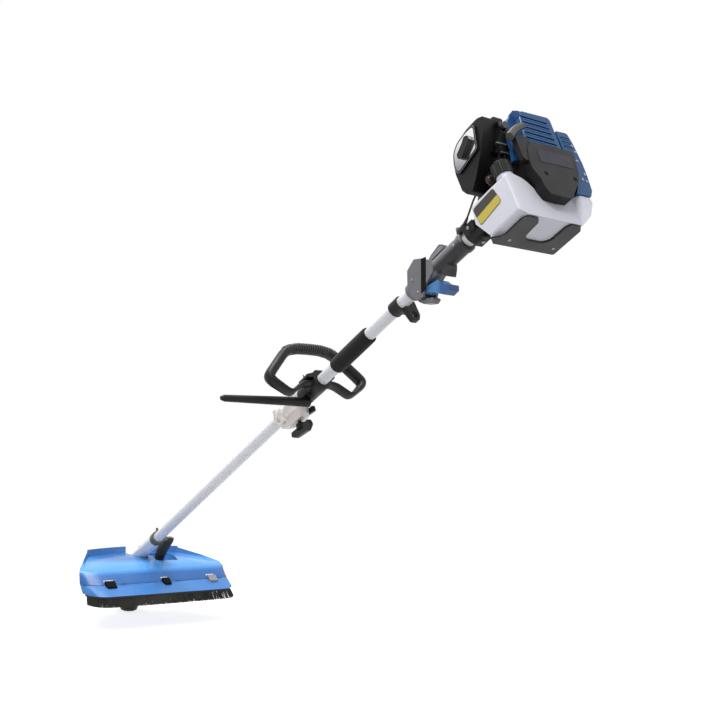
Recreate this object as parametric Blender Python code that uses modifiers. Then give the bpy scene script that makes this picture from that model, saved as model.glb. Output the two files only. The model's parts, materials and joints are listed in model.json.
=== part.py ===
"""Multi-tool brush cutter, as separate named pieces around one drive tube.

Lengths in the tables below are millimetres, turned into metres by MM.
Two frames carry the pieces:
  tool  X to the operator's right, Y forward along the drive tube, Z square to both.
        A station s is a distance back along the tube, so its Y is -s.
  head  the same X, but level with the ground, because the cutting head stands upright.
"""

import math
import random

import bmesh
import bpy
from mathutils import Matrix, Vector

MM = 0.001
GAP = 0.3
PITCH = math.radians(31)
EYE = Vector((14, -1184, -30))
random.seed(7)

TUBE_R = 13.0
TUBE_IN = 11.4
SHAFT_R = 4.0
SPOOL_Y = 112.0

for old in list(bpy.data.objects):
    bpy.data.objects.remove(old)

parts = bpy.data.collections.new("multi_tool_brush_cutter")
cutters = bpy.data.collections.new("cutters")
bpy.context.scene.collection.children.link(parts)
bpy.context.scene.collection.children.link(cutters)
cutters.hide_render = True

COLOURS = {
    "blue_plastic": ((0.03, 0.16, 0.46, 1), 0.0, 0.38),
    "cover_blue": ((0.022, 0.085, 0.19, 1), 0.0, 0.42),
    "trigger_blue": ((0.08, 0.23, 0.46, 1), 0.0, 0.4),
    "black_plastic": ((0.016, 0.016, 0.017, 1), 0.0, 0.5),
    "grey_plastic": ((0.05, 0.05, 0.055, 1), 0.0, 0.55),
    "tank_plastic": ((0.82, 0.82, 0.86, 1), 0.0, 0.35),
    "tube_paint": ((0.82, 0.83, 0.86, 1), 0.0, 0.3),
    "foam_rubber": ((0.012, 0.012, 0.013, 1), 0.0, 0.9),
    "bristle": ((0.02, 0.02, 0.022, 1), 0.0, 0.7),
    "cast_aluminium": ((0.6, 0.57, 0.55, 1), 1.0, 0.42),
    "steel": ((0.5, 0.5, 0.52, 1), 1.0, 0.3),
    "dark_steel": ((0.03, 0.03, 0.032, 1), 0.6, 0.45),
    "stand_paint": ((0.07, 0.07, 0.072, 1), 0.3, 0.5),
    "bulb_rubber": ((0.05, 0.03, 0.02, 1), 0.0, 0.35),
    "grip_plastic": ((0.13, 0.12, 0.1, 1), 0.0, 0.5),
    "signal_red": ((0.5, 0.03, 0.02, 1), 0.0, 0.4),
    "cable_black": ((0.01, 0.01, 0.01, 1), 0.0, 0.45),
}


def material(name):
    """The Principled material of this colour, made once."""
    found = bpy.data.materials.get(name)
    if found:
        return found
    made = bpy.data.materials.new(name)
    made.use_nodes = True
    shader = made.node_tree.nodes["Principled BSDF"]
    colour, metallic, roughness = COLOURS[name]
    shader.inputs["Base Color"].default_value = colour
    shader.inputs["Metallic"].default_value = metallic
    shader.inputs["Roughness"].default_value = roughness
    return made


def empty(name, location, turn, parent=None):
    made = bpy.data.objects.new(name, None)
    parts.objects.link(made)
    made.location = Vector(location) * MM
    made.rotation_euler = turn
    made.parent = parent
    return made


# The harness eye is at the world's origin, and the tube leans down towards the head.
eye_offset = Matrix.Rotation(-PITCH, 3, "X") @ EYE
tool = empty("tool_frame", -eye_offset, (-PITCH, 0, 0))
head = empty("head_frame", (0, 0, 0), (PITCH, 0, 0), tool)


def finish(name, mesh, colour, frame, origin=(0, 0, 0), smooth=35, cutter=False):
    """An object for a mesh in its frame's millimetres, with its own origin at a joint if it has one."""
    at = Vector(origin)
    mesh.transform(Matrix.Scale(MM, 4) @ Matrix.Translation(-at))
    welded = bmesh.new()
    welded.from_mesh(mesh)
    bmesh.ops.remove_doubles(welded, verts=welded.verts, dist=1e-6)
    bmesh.ops.recalc_face_normals(welded, faces=welded.faces)
    welded.to_mesh(mesh)
    welded.free()
    made = bpy.data.objects.new(name, mesh)
    made.parent = frame
    made.location = at * MM
    if cutter:
        cutters.objects.link(made)
        made.hide_render = True
        made.display_type = "WIRE"
    else:
        parts.objects.link(made)
        mesh.materials.append(material(colour))
        if smooth:
            mesh.shade_smooth()
            mesh.set_sharp_from_angle(angle=math.radians(smooth))
    return made


def as_mesh(made, turn):
    """The evaluated mesh of a curve or a modified object, turned into place. The object is removed."""
    bpy.context.scene.collection.objects.link(made)
    graph = bpy.context.evaluated_depsgraph_get()
    mesh = bpy.data.meshes.new_from_object(made.evaluated_get(graph))
    mesh.transform(turn)
    bpy.data.objects.remove(made)
    return mesh


def loft(name, rings, colour, frame, closed=False, **more):
    """A skin through rings of points that differ in shape, with flat ends unless it is closed."""
    n = len(rings)
    m = len(rings[0])
    verts = [point for ring in rings for point in ring]
    faces = []
    for i in range(n if closed else n - 1):
        j = (i + 1) % n
        for k in range(m):
            q = (k + 1) % m
            faces.append((i * m + k, i * m + q, j * m + q, j * m + k))
    if not closed:
        faces.append(tuple(reversed(range(m))))
        faces.append(tuple(range((n - 1) * m, n * m)))
    mesh = bpy.data.meshes.new(name)
    mesh.from_pydata(verts, [], faces)
    return finish(name, mesh, colour, frame, **more)


def towards(at, axis):
    """The matrix that stands something made along Z at a point, along an axis."""
    axis = Vector(axis).normalized()
    side = Vector((1, 0, 0)) if abs(axis.x) < 0.9 else Vector((0, 0, 1))
    first = (side - axis * side.dot(axis)).normalized()
    turn = Matrix((first, axis.cross(first), axis)).transposed().to_4x4()
    return Matrix.Translation(Vector(at)) @ turn


def turned(name, profile, colour, frame, at, axis, sides=20, loop=False, **more):
    """A profile of (distance along the axis, radius) with a Screw. It is a ring's section if loop is set."""
    points = [(radius, along) for along, radius in profile]
    if not loop:
        if points[0][0] > 0:
            points.insert(0, (0, points[0][1]))
        if points[-1][0] > 0:
            points.append((0, points[-1][1]))
    # The Screw faces outwards when the profile runs down its outer side.
    area = sum(a[0] * b[1] - b[0] * a[1] for a, b in zip(points, points[1:] + points[:1]))
    if area > 0:
        points.reverse()
    n = len(points)
    edges = [(i, (i + 1) % n) for i in range(n if loop else n - 1)]
    mesh = bpy.data.meshes.new(name)
    mesh.from_pydata([(x, 0, z) for x, z in points], edges, [])
    made = bpy.data.objects.new(name, mesh)
    screw = made.modifiers.new("turn", "SCREW")
    screw.axis = "Z"
    screw.steps = sides
    screw.render_steps = sides
    screw.use_merge_vertices = True
    screw.merge_threshold = 0.0001
    return finish(name, as_mesh(made, towards(at, axis)), colour, frame, **more)


def rod(name, low, high, radius, colour, frame, sides=20, **more):
    """A plain cylinder between two points."""
    low = Vector(low)
    high = Vector(high)
    made = bmesh.new()
    bmesh.ops.create_cone(
        made, cap_ends=True, segments=sides, radius1=radius, radius2=radius, depth=(high - low).length,
        matrix=towards((low + high) / 2, high - low),
    )
    mesh = bpy.data.meshes.new(name)
    made.to_mesh(mesh)
    made.free()
    return finish(name, mesh, colour, frame, **more)


def pipe(name, low, high, outer, inner, colour, frame, sides=20, **more):
    """A tube between two points."""
    low = Vector(low)
    high = Vector(high)
    length = (high - low).length
    profile = [(0, outer), (length, outer), (length, inner), (0, inner)]
    return turned(name, profile, colour, frame, low, high - low, sides, loop=True, **more)


def prism(name, outline, low, high, colour, frame, along="x", **more):
    """A filled outline with a thickness. It is (y, z) along x, (x, z) along y and (x, y) along z."""
    curve = bpy.data.curves.new(name, "CURVE")
    curve.dimensions = "2D"
    curve.fill_mode = "BOTH"
    curve.extrude = (high - low) / 2
    spline = curve.splines.new("POLY")
    spline.points.add(len(outline) - 1)
    for point, (u, v) in zip(spline.points, outline):
        point.co = (u, v, 0, 1)
    spline.use_cyclic_u = True
    middle = (low + high) / 2
    turn = {
        "x": Matrix(((0, 0, 1, middle), (1, 0, 0, 0), (0, 1, 0, 0), (0, 0, 0, 1))),
        "y": Matrix(((1, 0, 0, 0), (0, 0, -1, middle), (0, 1, 0, 0), (0, 0, 0, 1))),
        "z": Matrix.Translation((0, 0, middle)),
    }[along]
    return finish(name, as_mesh(bpy.data.objects.new(name, curve), turn), colour, frame, **more)


def box(name, low, high, colour, frame, **more):
    low = Vector(low)
    high = Vector(high)
    made = bmesh.new()
    size = Matrix.Diagonal((*(high - low), 1))
    bmesh.ops.create_cube(made, size=1, matrix=Matrix.Translation((low + high) / 2) @ size)
    mesh = bpy.data.meshes.new(name)
    made.to_mesh(mesh)
    made.free()
    return finish(name, mesh, colour, frame, **more)


def cut_box(low, high, frame):
    return box("cut", low, high, None, frame, cutter=True)


def rounded(corners, radius, steps=3):
    """The outline with each corner replaced by a short arc."""
    made = []
    n = len(corners)
    for i, corner in enumerate(corners):
        r = radius[i] if isinstance(radius, (list, tuple)) else radius
        here = Vector(corner)
        before = (Vector(corners[i - 1]) - here).normalized()
        after = (Vector(corners[(i + 1) % n]) - here).normalized()
        half = before.angle(after) / 2
        reach = r / math.tan(half)
        centre = here + (before + after).normalized() * (r / math.sin(half))
        start = here + before * reach - centre
        end = here + after * reach - centre
        for k in range(steps + 1):
            t = k / steps
            spoke = start.lerp(end, t)
            made.append(tuple(centre + spoke.normalized() * r))
    return made


def sweep(name, path, section, side, colour, frame, **more):
    """A changing section along a path. Its first number runs square to the path, its second along side."""
    path = [Vector(p) for p in path]
    side = Vector(side).normalized()
    n = len(path)
    rings = []
    for i, here in enumerate(path):
        tangent = (path[min(i + 1, n - 1)] - path[max(i - 1, 0)]).normalized()
        square = side.cross(tangent).normalized()
        rings.append([here + square * a + side * b for a, b in section(i)])
    return loft(name, rings, colour, frame, **more)


def oval(width, height, sides=12):
    """An ellipse as section points."""
    spokes = [2 * math.pi * k / sides for k in range(sides)]
    return [(width / 2 * math.cos(a), height / 2 * math.sin(a)) for a in spokes]


def boolean(target, other, operation):
    modifier = target.modifiers.new(operation.lower(), "BOOLEAN")
    modifier.operation = operation
    modifier.solver = "EXACT"
    modifier.object = other
    if other.name not in cutters.objects:
        parts.objects.unlink(other)
        cutters.objects.link(other)
        other.hide_render = True
        other.display_type = "WIRE"
    return target


def cut(target, *others):
    for other in others:
        boolean(target, other, "DIFFERENCE")
    return target


def join(target, *others):
    for other in others:
        boolean(target, other, "UNION")
    return target


def at(s, x=0.0, z=0.0):
    """A point of the tool frame by its station along the tube."""
    return Vector((x, -s, z))


def smooth_path(points, step):
    """Points every step along a smooth curve through the given points."""
    points = [Vector(p) for p in points]
    ends = [points[0] * 2 - points[1]] + points + [points[-1] * 2 - points[-2]]
    fine = []
    for i in range(1, len(ends) - 2):
        p0, p1, p2, p3 = ends[i - 1 : i + 3]
        for k in range(40):
            t = k / 40
            fine.append(
                0.5
                * (
                    2 * p1
                    + (p2 - p0) * t
                    + (2 * p0 - 5 * p1 + 4 * p2 - p3) * t * t
                    + (3 * p1 - p0 - 3 * p2 + p3) * t * t * t
                )
            )
    fine.append(points[-1])
    total = sum((b - a).length for a, b in zip(fine, fine[1:]))
    count = max(2, round(total / step))
    made = [fine[0]]
    walked = 0.0
    for a, b in zip(fine, fine[1:]):
        length = (b - a).length
        while len(made) < count and walked + length >= total * len(made) / count:
            t = (total * len(made) / count - walked) / length if length else 0
            made.append(a.lerp(b, t))
        walked += length
    made.append(fine[-1])
    return made


def wire(name, path, radius):
    """A curve through the points, with a round bevel and filled ends."""
    curve = bpy.data.curves.new(name, "CURVE")
    curve.dimensions = "3D"
    spline = curve.splines.new("POLY")
    spline.points.add(len(path) - 1)
    for point, here in zip(spline.points, path):
        point.co = (*here, 1)
    curve.bevel_depth = radius
    curve.bevel_resolution = 2
    curve.use_fill_caps = True
    return bpy.data.objects.new(name, curve)


# Drive tubes and shafts.
pipe("lower_tube", at(764), at(-24), TUBE_R, TUBE_IN, "tube_paint", tool)
pipe("upper_tube", at(1424), at(778), TUBE_R, TUBE_IN, "tube_paint", tool)
turned(
    "drive_shaft_lower",
    [(0, 3.2), (14, 3.2), (14, SHAFT_R), (830, SHAFT_R), (830, 9.5), (848, 6.0)],
    "steel", tool, at(743), (0, 1, 0), 12,
)
upper_shaft = turned(
    "drive_shaft_upper",
    [(0, SHAFT_R), (676, SHAFT_R), (676, 7.0), (706, 7.0), (706, 3.6), (690, 3.6)],
    "steel", tool, at(1436), (0, 1, 0), 12,
)

# Gear head. The housing is a collar on the tube that runs into an upright case.
TUBE_DIR = Vector((0, math.cos(PITCH), -math.sin(PITCH)))


def on_tube(s):
    """A point of the tube's axis in the head frame."""
    return TUBE_DIR * -s


housing = turned(
    "gearhead_housing",
    [(0, 17.5), (148, 17.5)],
    "cast_aluminium", head, on_tube(28), TUBE_DIR, 20,
)
case = turned(
    "case",
    [(-112, 29), (-90, 29), (-84, 31), (-62, 31), (-51, 22), (-48, 12), (-48, 0)],
    None, head, (0, SPOOL_Y, 0), (0, 0, 1), 18, cutter=True,
)
nose = turned(
    "nose", [(0, 13), (16, 13), (20, 9)], None, head, on_tube(-150), TUBE_DIR, 16, cutter=True
)
join(housing, case, nose)
cut(
    housing,
    rod("bore", on_tube(40), on_tube(-26), TUBE_R + GAP, None, head, cutter=True),
    rod("bore", on_tube(0), on_tube(-128), 10.5, None, head, 12, cutter=True),
    turned(
        "room", [(-120, 24), (-62, 24), (-54, 16)], None, head, (0, SPOOL_Y, 0), (0, 0, 1), 14, cutter=True,
    ),
)
turned(
    "output_shaft",
    [(-136, 0), (-136, 6), (-124, 6), (-124, 30), (-118, 30), (-114.5, 22), (-114.5, 12), (-109, 12), (
        -109, 20,
    ),
     (-105, 21), (-96, 12), (-86, 6), (-84, 6), (-84, 0)],
    "steel", head, (0, SPOOL_Y, 0), (0, 0, 1), 14,
)

# Line head.
turned(
    "line_spool",
    [
        (-170, 31), (-166, 42), (-158, 47), (-155, 44), (-151, 44), (-149, 48),
        (-138, 48), (-130, 42), (-126, 30), (-124.4, 30), (-124.4, 6.4), (-146, 6.4), (-146, 27.5), (
            -170, 27.5,
        ),
    ],
    "black_plastic", head, (0, SPOOL_Y, 0), (0, 0, 1), 16, loop=True,
)
knob = turned(
    "bump_knob",
    [(-198, 0), (-198, 15), (-195, 22), (-187, 25), (-152, 25), (-152, 21), (-183, 20), (-183, 0)],
    "grey_plastic", head, (0, SPOOL_Y, 0), (0, 0, 1), 16,
)

# Guard. Its section is carried from left (u = -1) to right (u = 1), corner by corner.
GUARD_ROWS = {
    "lip": (134, 105, -25, 0, 17, 2),
    "lip_base": (136, 102, -44, 0, 17, 4),
    "crown": (172, 38, -50, 0, 0, 11),
    "brow": (204, -24, -55, 10, 0, 4),
    "edge": (210, -44, -63, 18, 0, 2),
    "split": (212, -76, -88, 38, 0, 0),
    "skirt_top": (212, -76.6, -88.3, 38, 0, 0),
    "skirt_bottom": (211, -124, -109, 66, 0, 0),
    "brush_top": (207, -121, -109.4, 66, 0, 0),
    "brush_bottom": (206, -134, -135, 68, 0, 0),
}
RIM = {"lip_base": 15, "crown": 10, "brow": 2}
INWARD = {
    "lip": (0, 3, 0),
    "lip_base": (0, 3, -3),
    "crown": (0, 0, -3),
    "brow": (1, 0, -3.2),
    "edge": (3, 0, -2.4),
    "split": (3.4, 0, 0),
    "skirt_top": (3.4, 0, 0),
    "skirt_bottom": (3.4, 0, 0),
}


def corner_wrap(u):
    """How far round the front corner this u is: 0 over most of the width, 1 at the end."""
    corner = max(0.0, abs(u) - 0.76) / 0.24
    return corner, 1 - math.sqrt(max(0.0, 1 - corner * corner))


def guard_row(u, row):
    """A point of the guard's outer side."""
    reach, y, h, wrap, bulge, dome = GUARD_ROWS[row]
    middle = 1 - u * u
    rim = RIM.get(row, 0) * max(0.0, (abs(u) - 0.965) / 0.035)
    return Vector((u * reach, y + wrap * corner_wrap(u)[1] + bulge * middle, h + dome * middle + rim))


def guard_inner(u, row):
    """The matching point of the inner side."""
    back, far, down = INWARD[row]
    corner = corner_wrap(u)[0]
    side = -math.copysign(corner, u) * back
    return guard_row(u, row) + Vector((side, back * math.sqrt(max(0.0, 1 - corner * corner)) + far, down))


SPREAD = [-1, -0.965, -0.93, -0.88, -0.82, -0.76, -0.6, -0.45, -0.3, -0.15, 0]
SPREAD += [-u for u in reversed(SPREAD[:-1])]


def guard_skin(name, rows):
    """A closed shell through the rows, its thickness from the table of inner sides."""
    rings = []
    for u in SPREAD:
        outer = [guard_row(u, row) for row in rows]
        rings.append(outer + [guard_inner(u, row) for row in reversed(rows)])
    return loft(name, rings, "blue_plastic", head, smooth=40)


shell = guard_skin("guard_shell", ["lip", "lip_base", "crown", "brow", "edge", "split"])
skirt = guard_skin("guard_skirt", ["skirt_top", "skirt_bottom"])

# The shell is cut out round the gear head's neck, and has a recess on the right for the bracket's foot.
tray = prism(
    "tray", [(-3, -64), (-3, -52), (38, -43), (98, -42.5), (98, -64)], 0, 110, None, head, "x", cutter=True,
)
tray_plan = prism(
    "tray_plan", [(21, -10), (103, -10), (103, 120), (50, 120), (21, 70)], -70, -30, None, head, "z",
    cutter=True,
)
join(shell, boolean(tray, tray_plan, "INTERSECT"))
cut(
    shell,
    rod("neck_room", on_tube(10), on_tube(-124), 18.2, None, head, 20, cutter=True),
    prism("wall_notch", [(-16, 80), (24, 80), (24, 160), (-16, 160)], -46, 40, None, head, "z", cutter=True),
    prism(
        "recess", rounded([(37, 92), (24, 69), (24, 4), (86, 4), (98, 92)], 5), -60.3, 40, None, head, "z",
        cutter=True,
    ),
)

CLIPS = (("guard_clip_left", -146.0, 13), ("guard_clip_middle", 11.0, 10), ("guard_clip_right", 148.0, 12))
for clip_name, clip_x, half in CLIPS:
    cut(shell, cut_box((clip_x - half - 0.5, -140, -90), (clip_x + half + 0.5, -56, -78.5), head))
    cut(skirt, cut_box((clip_x - half - 0.5, -140, -94.5), (clip_x + half + 0.5, -56, -86), head))
    prism(
        clip_name,
        [(-66, -79), (-76, -79), (-92, -90), (-92, -94), (-84, -94), (-70, -87)],
        clip_x - half, clip_x + half, "black_plastic", head, "x",
    )


def brush(columns=150, rows=2):
    """A backing strip with three-sided bristles drawn out of its lower face to a point."""
    verts = []
    faces = []
    n = columns + 1
    us = [-0.998 + 1.996 * i / columns for i in range(n)]
    depth = 7.0
    high = []
    low = []
    for u in us:
        out = guard_row(u, "brush_top")
        ahead = guard_row(min(u + 0.01, 1), "brush_top") - guard_row(max(u - 0.01, -1), "brush_top")
        inward = Vector((0, 0, 1)).cross(ahead).normalized()
        high.append([out + inward * depth * k / rows for k in range(rows + 1)])
        low.append([p - Vector((0, 0, 4)) for p in high[-1]])
    top = {}
    bottom = {}
    for i in range(n):
        for k in range(rows + 1):
            bottom[i, k] = len(verts)
            verts.append(low[i][k])
        for k in (0, rows):
            top[i, k] = len(verts)
            verts.append(high[i][k])
    for i in range(columns):
        faces.append((top[i, 0], top[i, rows], top[i + 1, rows], top[i + 1, 0]))
        faces.append((top[i, 0], top[i + 1, 0], bottom[i + 1, 0], bottom[i, 0]))
        faces.append((top[i + 1, rows], top[i, rows], bottom[i, rows], bottom[i + 1, rows]))
    for i in (0, columns):
        rim = [top[i, 0], *[bottom[i, k] for k in range(rows + 1)], top[i, rows]]
        faces.append(tuple(rim if i == 0 else reversed(rim)))
    for i in range(columns):
        u = us[i]
        flare = guard_row(u, "brush_bottom") - guard_row(u, "brush_top")
        for k in range(rows):
            quad = [bottom[i, k], bottom[i + 1, k], bottom[i + 1, k + 1], bottom[i, k + 1]]
            corners = [verts[q] for q in quad]
            middle = sum(corners, Vector()) / 4
            across = (corners[1] - corners[0]) * 0.42
            inward = (corners[3] - corners[0]) * 0.36
            base = [middle - across - inward, middle + across - inward, middle + inward]
            lean = Vector((random.uniform(-0.5, 0.5), random.uniform(-0.5, 0.5), random.uniform(-1.5, 1.5)))
            b = len(verts)
            verts.extend(base + [middle + flare + Vector((0, 0, 4)) + lean])
            faces.append((quad[0], quad[1], b + 1, b))
            faces.append((quad[1], quad[2], b + 1))
            faces.append((quad[2], b + 2, b + 1))
            faces.append((quad[2], quad[3], b + 2))
            faces.append((quad[3], quad[0], b, b + 2))
            faces += [(b, b + 1, b + 3), (b + 1, b + 2, b + 3), (b + 2, b, b + 3)]
    mesh = bpy.data.meshes.new("guard_brush")
    mesh.from_pydata(verts, [], faces)
    return finish("guard_brush", mesh, "bristle", head, smooth=0)


brush()

# Bracket and clamp that carry the guard on the gear head's end of the tube.
guard_clamp = rod("guard_clamp", at(46), at(29), 18.0, "dark_steel", tool)
join(
    guard_clamp,
    box("ear", (12, -45, -9), (26, -30, 8), None, tool, cutter=True),
    prism("fin", [(-46, 14), (-46, 27), (-43, 24), (-40, 14)], -2, 5, None, tool, "x", cutter=True),
)
cut(guard_clamp, rod("bore", at(70), at(-10), TUBE_R + GAP, None, tool, cutter=True))
cut(guard_clamp, cut_box((13.6, -60, -1), (40, 0, 1), tool))
bracket = prism(
    "guard_bracket",
    rounded(
        [
            (-42, 20), (-24, 22), (-10, 6), (12, -10), (26, -34), (30, -56), (66, -56), (66, -60), (15, -60),
            (9, -40), (-12, -16), (-36, 8),
        ],
        1.6, 2,
    ),
    26.3, 46, "dark_steel", head, "x",
)
# Quick coupling.
coupling = turned(
    "coupling_body",
    [(0, 17), (6, 19.5), (30, 19.5), (34, 18), (66, 18), (70, 21), (100, 21), (106, 18)],
    "cast_aluminium", tool, at(806), (0, 1, 0), 18,
)
join(
    coupling,
    prism(
        "lug", rounded([(-800, -8), (-712, -8), (-712, -30), (-742, -40), (-790, -40)], 3), -11, 11, None,
        tool, "x", cutter=True,
    ),
    box("rib", (-22, -786, 4), (22, -778, 20), None, tool, cutter=True),
    box("rib", (-22, -716, -16), (22, -708, 16), None, tool, cutter=True),
)
cut(
    coupling,
    rod("bore", at(820), at(771), TUBE_R + GAP, None, tool, cutter=True),
    rod("bore", at(765), at(680), TUBE_R + GAP, None, tool, cutter=True),
    rod("bore", at(810), at(690), 10.5, None, tool, cutter=True),
    box("slit", (-1.5, -745, -60), (1.5, -690, -9), None, tool, cutter=True),
    rod("hole", (0, -766, -60), (0, -766, -16), 4.4, None, tool, 12, cutter=True),
)
knob_stem = turned(
    "coupling_knob",
    [(-18, 0), (-18, 4.0), (-46, 4.0), (-46, 11), (-58, 11), (-58, 0)],
    "black_plastic", tool, (0, -766, 0), (0, 0, 1), 16, origin=(0, -766, -46),
)
wing = prism(
    "wing", rounded([(-800, -52), (-732, -50), (-730, -60), (-742, -68), (-790, -74), (-804, -66)], 3, 2),
    -5, 5, None, tool, "x", cutter=True,
)
join(knob_stem, wing)
latch = prism(
    "coupling_latch",
    rounded([(-806, -20.5), (-786, -20.5), (-752, -20.5), (-748, -26), (-770, -30), (-806, -34)], 2, 2),
    13, 21, "black_plastic", tool, "x", origin=(17, -796, -24),
)
cut(coupling, cut_box((12.4, -812, -40), (30, -740, -16), tool))

# Sleeve, loop handle, its clamp and the barrier bar.
LOOP_S = 862
SLEEVE_R = 20.5
pipe("coupling_sleeve", at(841.5), at(807), SLEEVE_R, TUBE_R + GAP, "black_plastic", tool)
HALF = [
    (0, 88), (30, 87), (52, 82), (70, 70), (92, 46), (112, 24), (122, 11), (116, 0), (100, -12), (84, -24),
]
HALF += [(74, -25), (60, -15), (46, -5), (34, -1), (15, -1)]
loop_path = [at(LOOP_S, -x, z) for x, z in reversed(HALF)] + [at(LOOP_S, x, z) for x, z in HALF[1:]]


def loop_section(i):
    """Round at the grip, flatter towards the clamp, always wide along the tube."""
    x, z = [(abs(p.x), p.z) for p in loop_path][i]
    share = min(1.0, max(0.0, (z + 25) / 40)) if x > 74 or z > 12 else 0.0
    return oval(10 + 11 * share, 27 + 1 * share, 10)


loop = sweep("loop_handle", loop_path, loop_section, (0, 1, 0), "black_plastic", tool, smooth=40)
saddle = rod("saddle", at(882), at(842), 21.0, None, tool, cutter=True)
join(loop, saddle)
cut(
    loop,
    cut_box((-60, -900, 5.5), (60, -820, 60), tool),
    rod("bore", at(900), at(820), TUBE_R + GAP, None, tool, cutter=True),
)
cap = prism(
    "loop_clamp_cap",
    rounded([(-36, 5.9), (-36, 13), (-20, 17), (-12, 24), (12, 24), (20, 17), (36, 13), (36, 5.9)], 2, 2),
    -880, -844, "black_plastic", tool, "y",
)
cut(cap, rod("bore", at(900), at(820), TUBE_R + GAP, None, tool, cutter=True))
for side_name, side in (("loop_bolt_left", -1), ("loop_bolt_right", 1)):
    bolt = turned(
        side_name, [(-4, 2.6), (14.2, 2.6), (14.2, 5.4), (20, 5.4)], "steel", tool, (side * 28, -862, 0),
        (0, 0, 1), 12,
    )
    hole = rod("hole", (side * 28, -862, -5), (side * 28, -862, 40), 2.9, None, tool, 12, cutter=True)
    cut(loop, hole)
    cut(cap, hole)
    cut(cap, rod("seat", (side * 28, -862, 13.9), (side * 28, -862, 40), 6.4, None, tool, 12, cutter=True))
BAR = [(-6, -22.5), (-60, -22.5), (-120, -23), (-180, -23.5), (-216, -23.5), (-224, -23.5)]


def bar_section(i):
    reach = abs(BAR[i][0])
    width = 23 - 8 * reach / 224
    if i == len(BAR) - 1:
        width -= 6
    return [(a, b) for a, b in oval(width, width * 0.8, 12)]


bar = sweep(
    "barrier_bar", [at(822, x, z) for x, z in BAR], bar_section, (0, 1, 0), "black_plastic", tool, smooth=40,
)
cut(bar, rod("room", at(900), at(780), SLEEVE_R + GAP, None, tool, cutter=True))

# Foam grip and harness hanger.
turned(
    "foam_grip",
    [(0, 15.6), (3, 17.5), (125, 17.5), (128, 15.6), (128, TUBE_R + GAP), (0, TUBE_R + GAP)],
    "foam_rubber", tool, at(1064), (0, 1, 0), 20, loop=True,
)
hanger = rod("hanger_clamp", at(1178), at(1152), 16.4, "black_plastic", tool)
EYE_PLATE = rounded([(-4, 10), (24, 10), (28, -30), (22, -43), (6, -43), (0, -30), (-4, -14)], 5, 3)
plate = prism("plate", EYE_PLATE, -1187, -1176, None, tool, "y", cutter=True)
ears = box("ears", (12, -1178, -8), (34, -1152, 8), None, tool, cutter=True)
join(hanger, ears, plate)
cut(
    hanger,
    cut_box((13.5, -1190, -1.2), (40, -1150, 1.2), tool),
    rod("bore", at(1200), at(1140), TUBE_R + GAP, None, tool, cutter=True),
    prism(
        "eye", rounded([(7.5, -23.5), (20.5, -23.5), (20.5, -36.5), (7.5, -36.5)], 4, 3), -1200, -1160, None,
        tool, "y", cutter=True,
    ),
)

# Throttle handle, in two halves that meet on the plane X = 0.
HOUSING = [(-1224, 8), (-1236, 34), (-1262, 43), (-1282, 31), (-1300, 14), (-1302, -8), (-1268, -20)]
HOUSING += [(-1252, -37), (-1234, -31), (-1223, -16)]
FOOT = [(-1232, -24), (-1250, -38), (-1266, -46), (-1268, -52), (-1258, -54), (-1240, -44), (-1228, -31)]
HOOK = [(-1299, -12), (-1306, -20), (-1319, -35), (-1328, -24), (-1334, -12)]


def handle_half(name, side):
    """One half of the throttle handle, with room for the tube, the trigger, the lock-out and the switch."""
    half = turned(
        name,
        [(0, 18), (3, 20.5), (11, 20.5), (13, 18.6), (60, 18.2), (110, 18.8), (172, 18.8), (174, 17)],
        "black_plastic", tool, at(1386), (0, 1, 0), 18,
    )
    join(
        half,
        prism("housing", rounded(HOUSING, 2.5, 2), -18.6, 18.6, None, tool, "x", cutter=True),
        prism(
            "collar", rounded([(-1385, 5), (-1385, 30), (-1377, 33), (-1372, 10)], 2, 2), -9, 9, None, tool,
            "x", cutter=True,
        ),
        prism("foot", rounded(FOOT, 2, 2), -9, 9, None, tool, "x", cutter=True),
        prism("guard_hook", rounded(HOOK, 2, 2), -12, 12, None, tool, "x", cutter=True),
    )
    away = (0.15 * side, -1400, -80)
    far = (-60 * side, -1200, 80)
    low = [min(a, b) for a, b in zip(away, far)]
    high = [max(a, b) for a, b in zip(away, far)]
    cut(
        half,
        cut_box(low, high, tool),
        rod("bore", at(1400), at(1200), TUBE_R + GAP, None, tool, cutter=True),
        cut_box((-13.6, -1312, -36), (13.6, -1243, -15.2), tool),
        cut_box((-5.4, -1338, 15), (5.4, -1273, 60), tool),
        rod("pin_hole", (-17, -1254, -25), (17, -1254, -25), 2.9, None, tool, 12, cutter=True),
        rod("pin_hole", (-12, -1278, 21), (12, -1278, 21), 2.3, None, tool, 12, cutter=True),
    )
    return half


handle_right = handle_half("handle_right", 1)
handle_half("handle_left", -1)
cut(handle_right, cut_box((15.4, -1261, 21), (30, -1241, 32), tool))
TRIGGER = [
    (-1249, -21), (-1257, -19.5), (-1296, -27), (-1304, -40), (-1318, -52), (-1314, -61), (-1298, -62),
    (-1286, -49),
]
TRIGGER += [(-1262, -33), (-1250, -30)]
trigger = prism(
    "throttle_trigger", rounded(TRIGGER, 2, 2), -13, 13, "trigger_blue", tool, "x", origin=(0, -1254, -25),
)
join(trigger, rod("pin", (-16.5, -1254, -25), (16.5, -1254, -25), 2.5, None, tool, 12, cutter=True))
lever = prism(
    "lockout_lever",
    rounded(
        [
            (-1274, 24.5), (-1291, 30), (-1324, 35.5), (-1332, 29), (-1327, 24), (-1290, 22), (-1281, 17),
            (-1275, 17),
        ],
        1.2, 2,
    ),
    -5, 5, "black_plastic", tool, "x", origin=(0, -1278, 21),
)
join(lever, rod("pin", (-11, -1278, 21), (11, -1278, 21), 2.0, None, tool, 12, cutter=True))
box("stop_switch", (15.8, -1253, 22), (22.5, -1242, 31), "signal_red", tool, origin=(19, -1247.5, 26.5))

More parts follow.
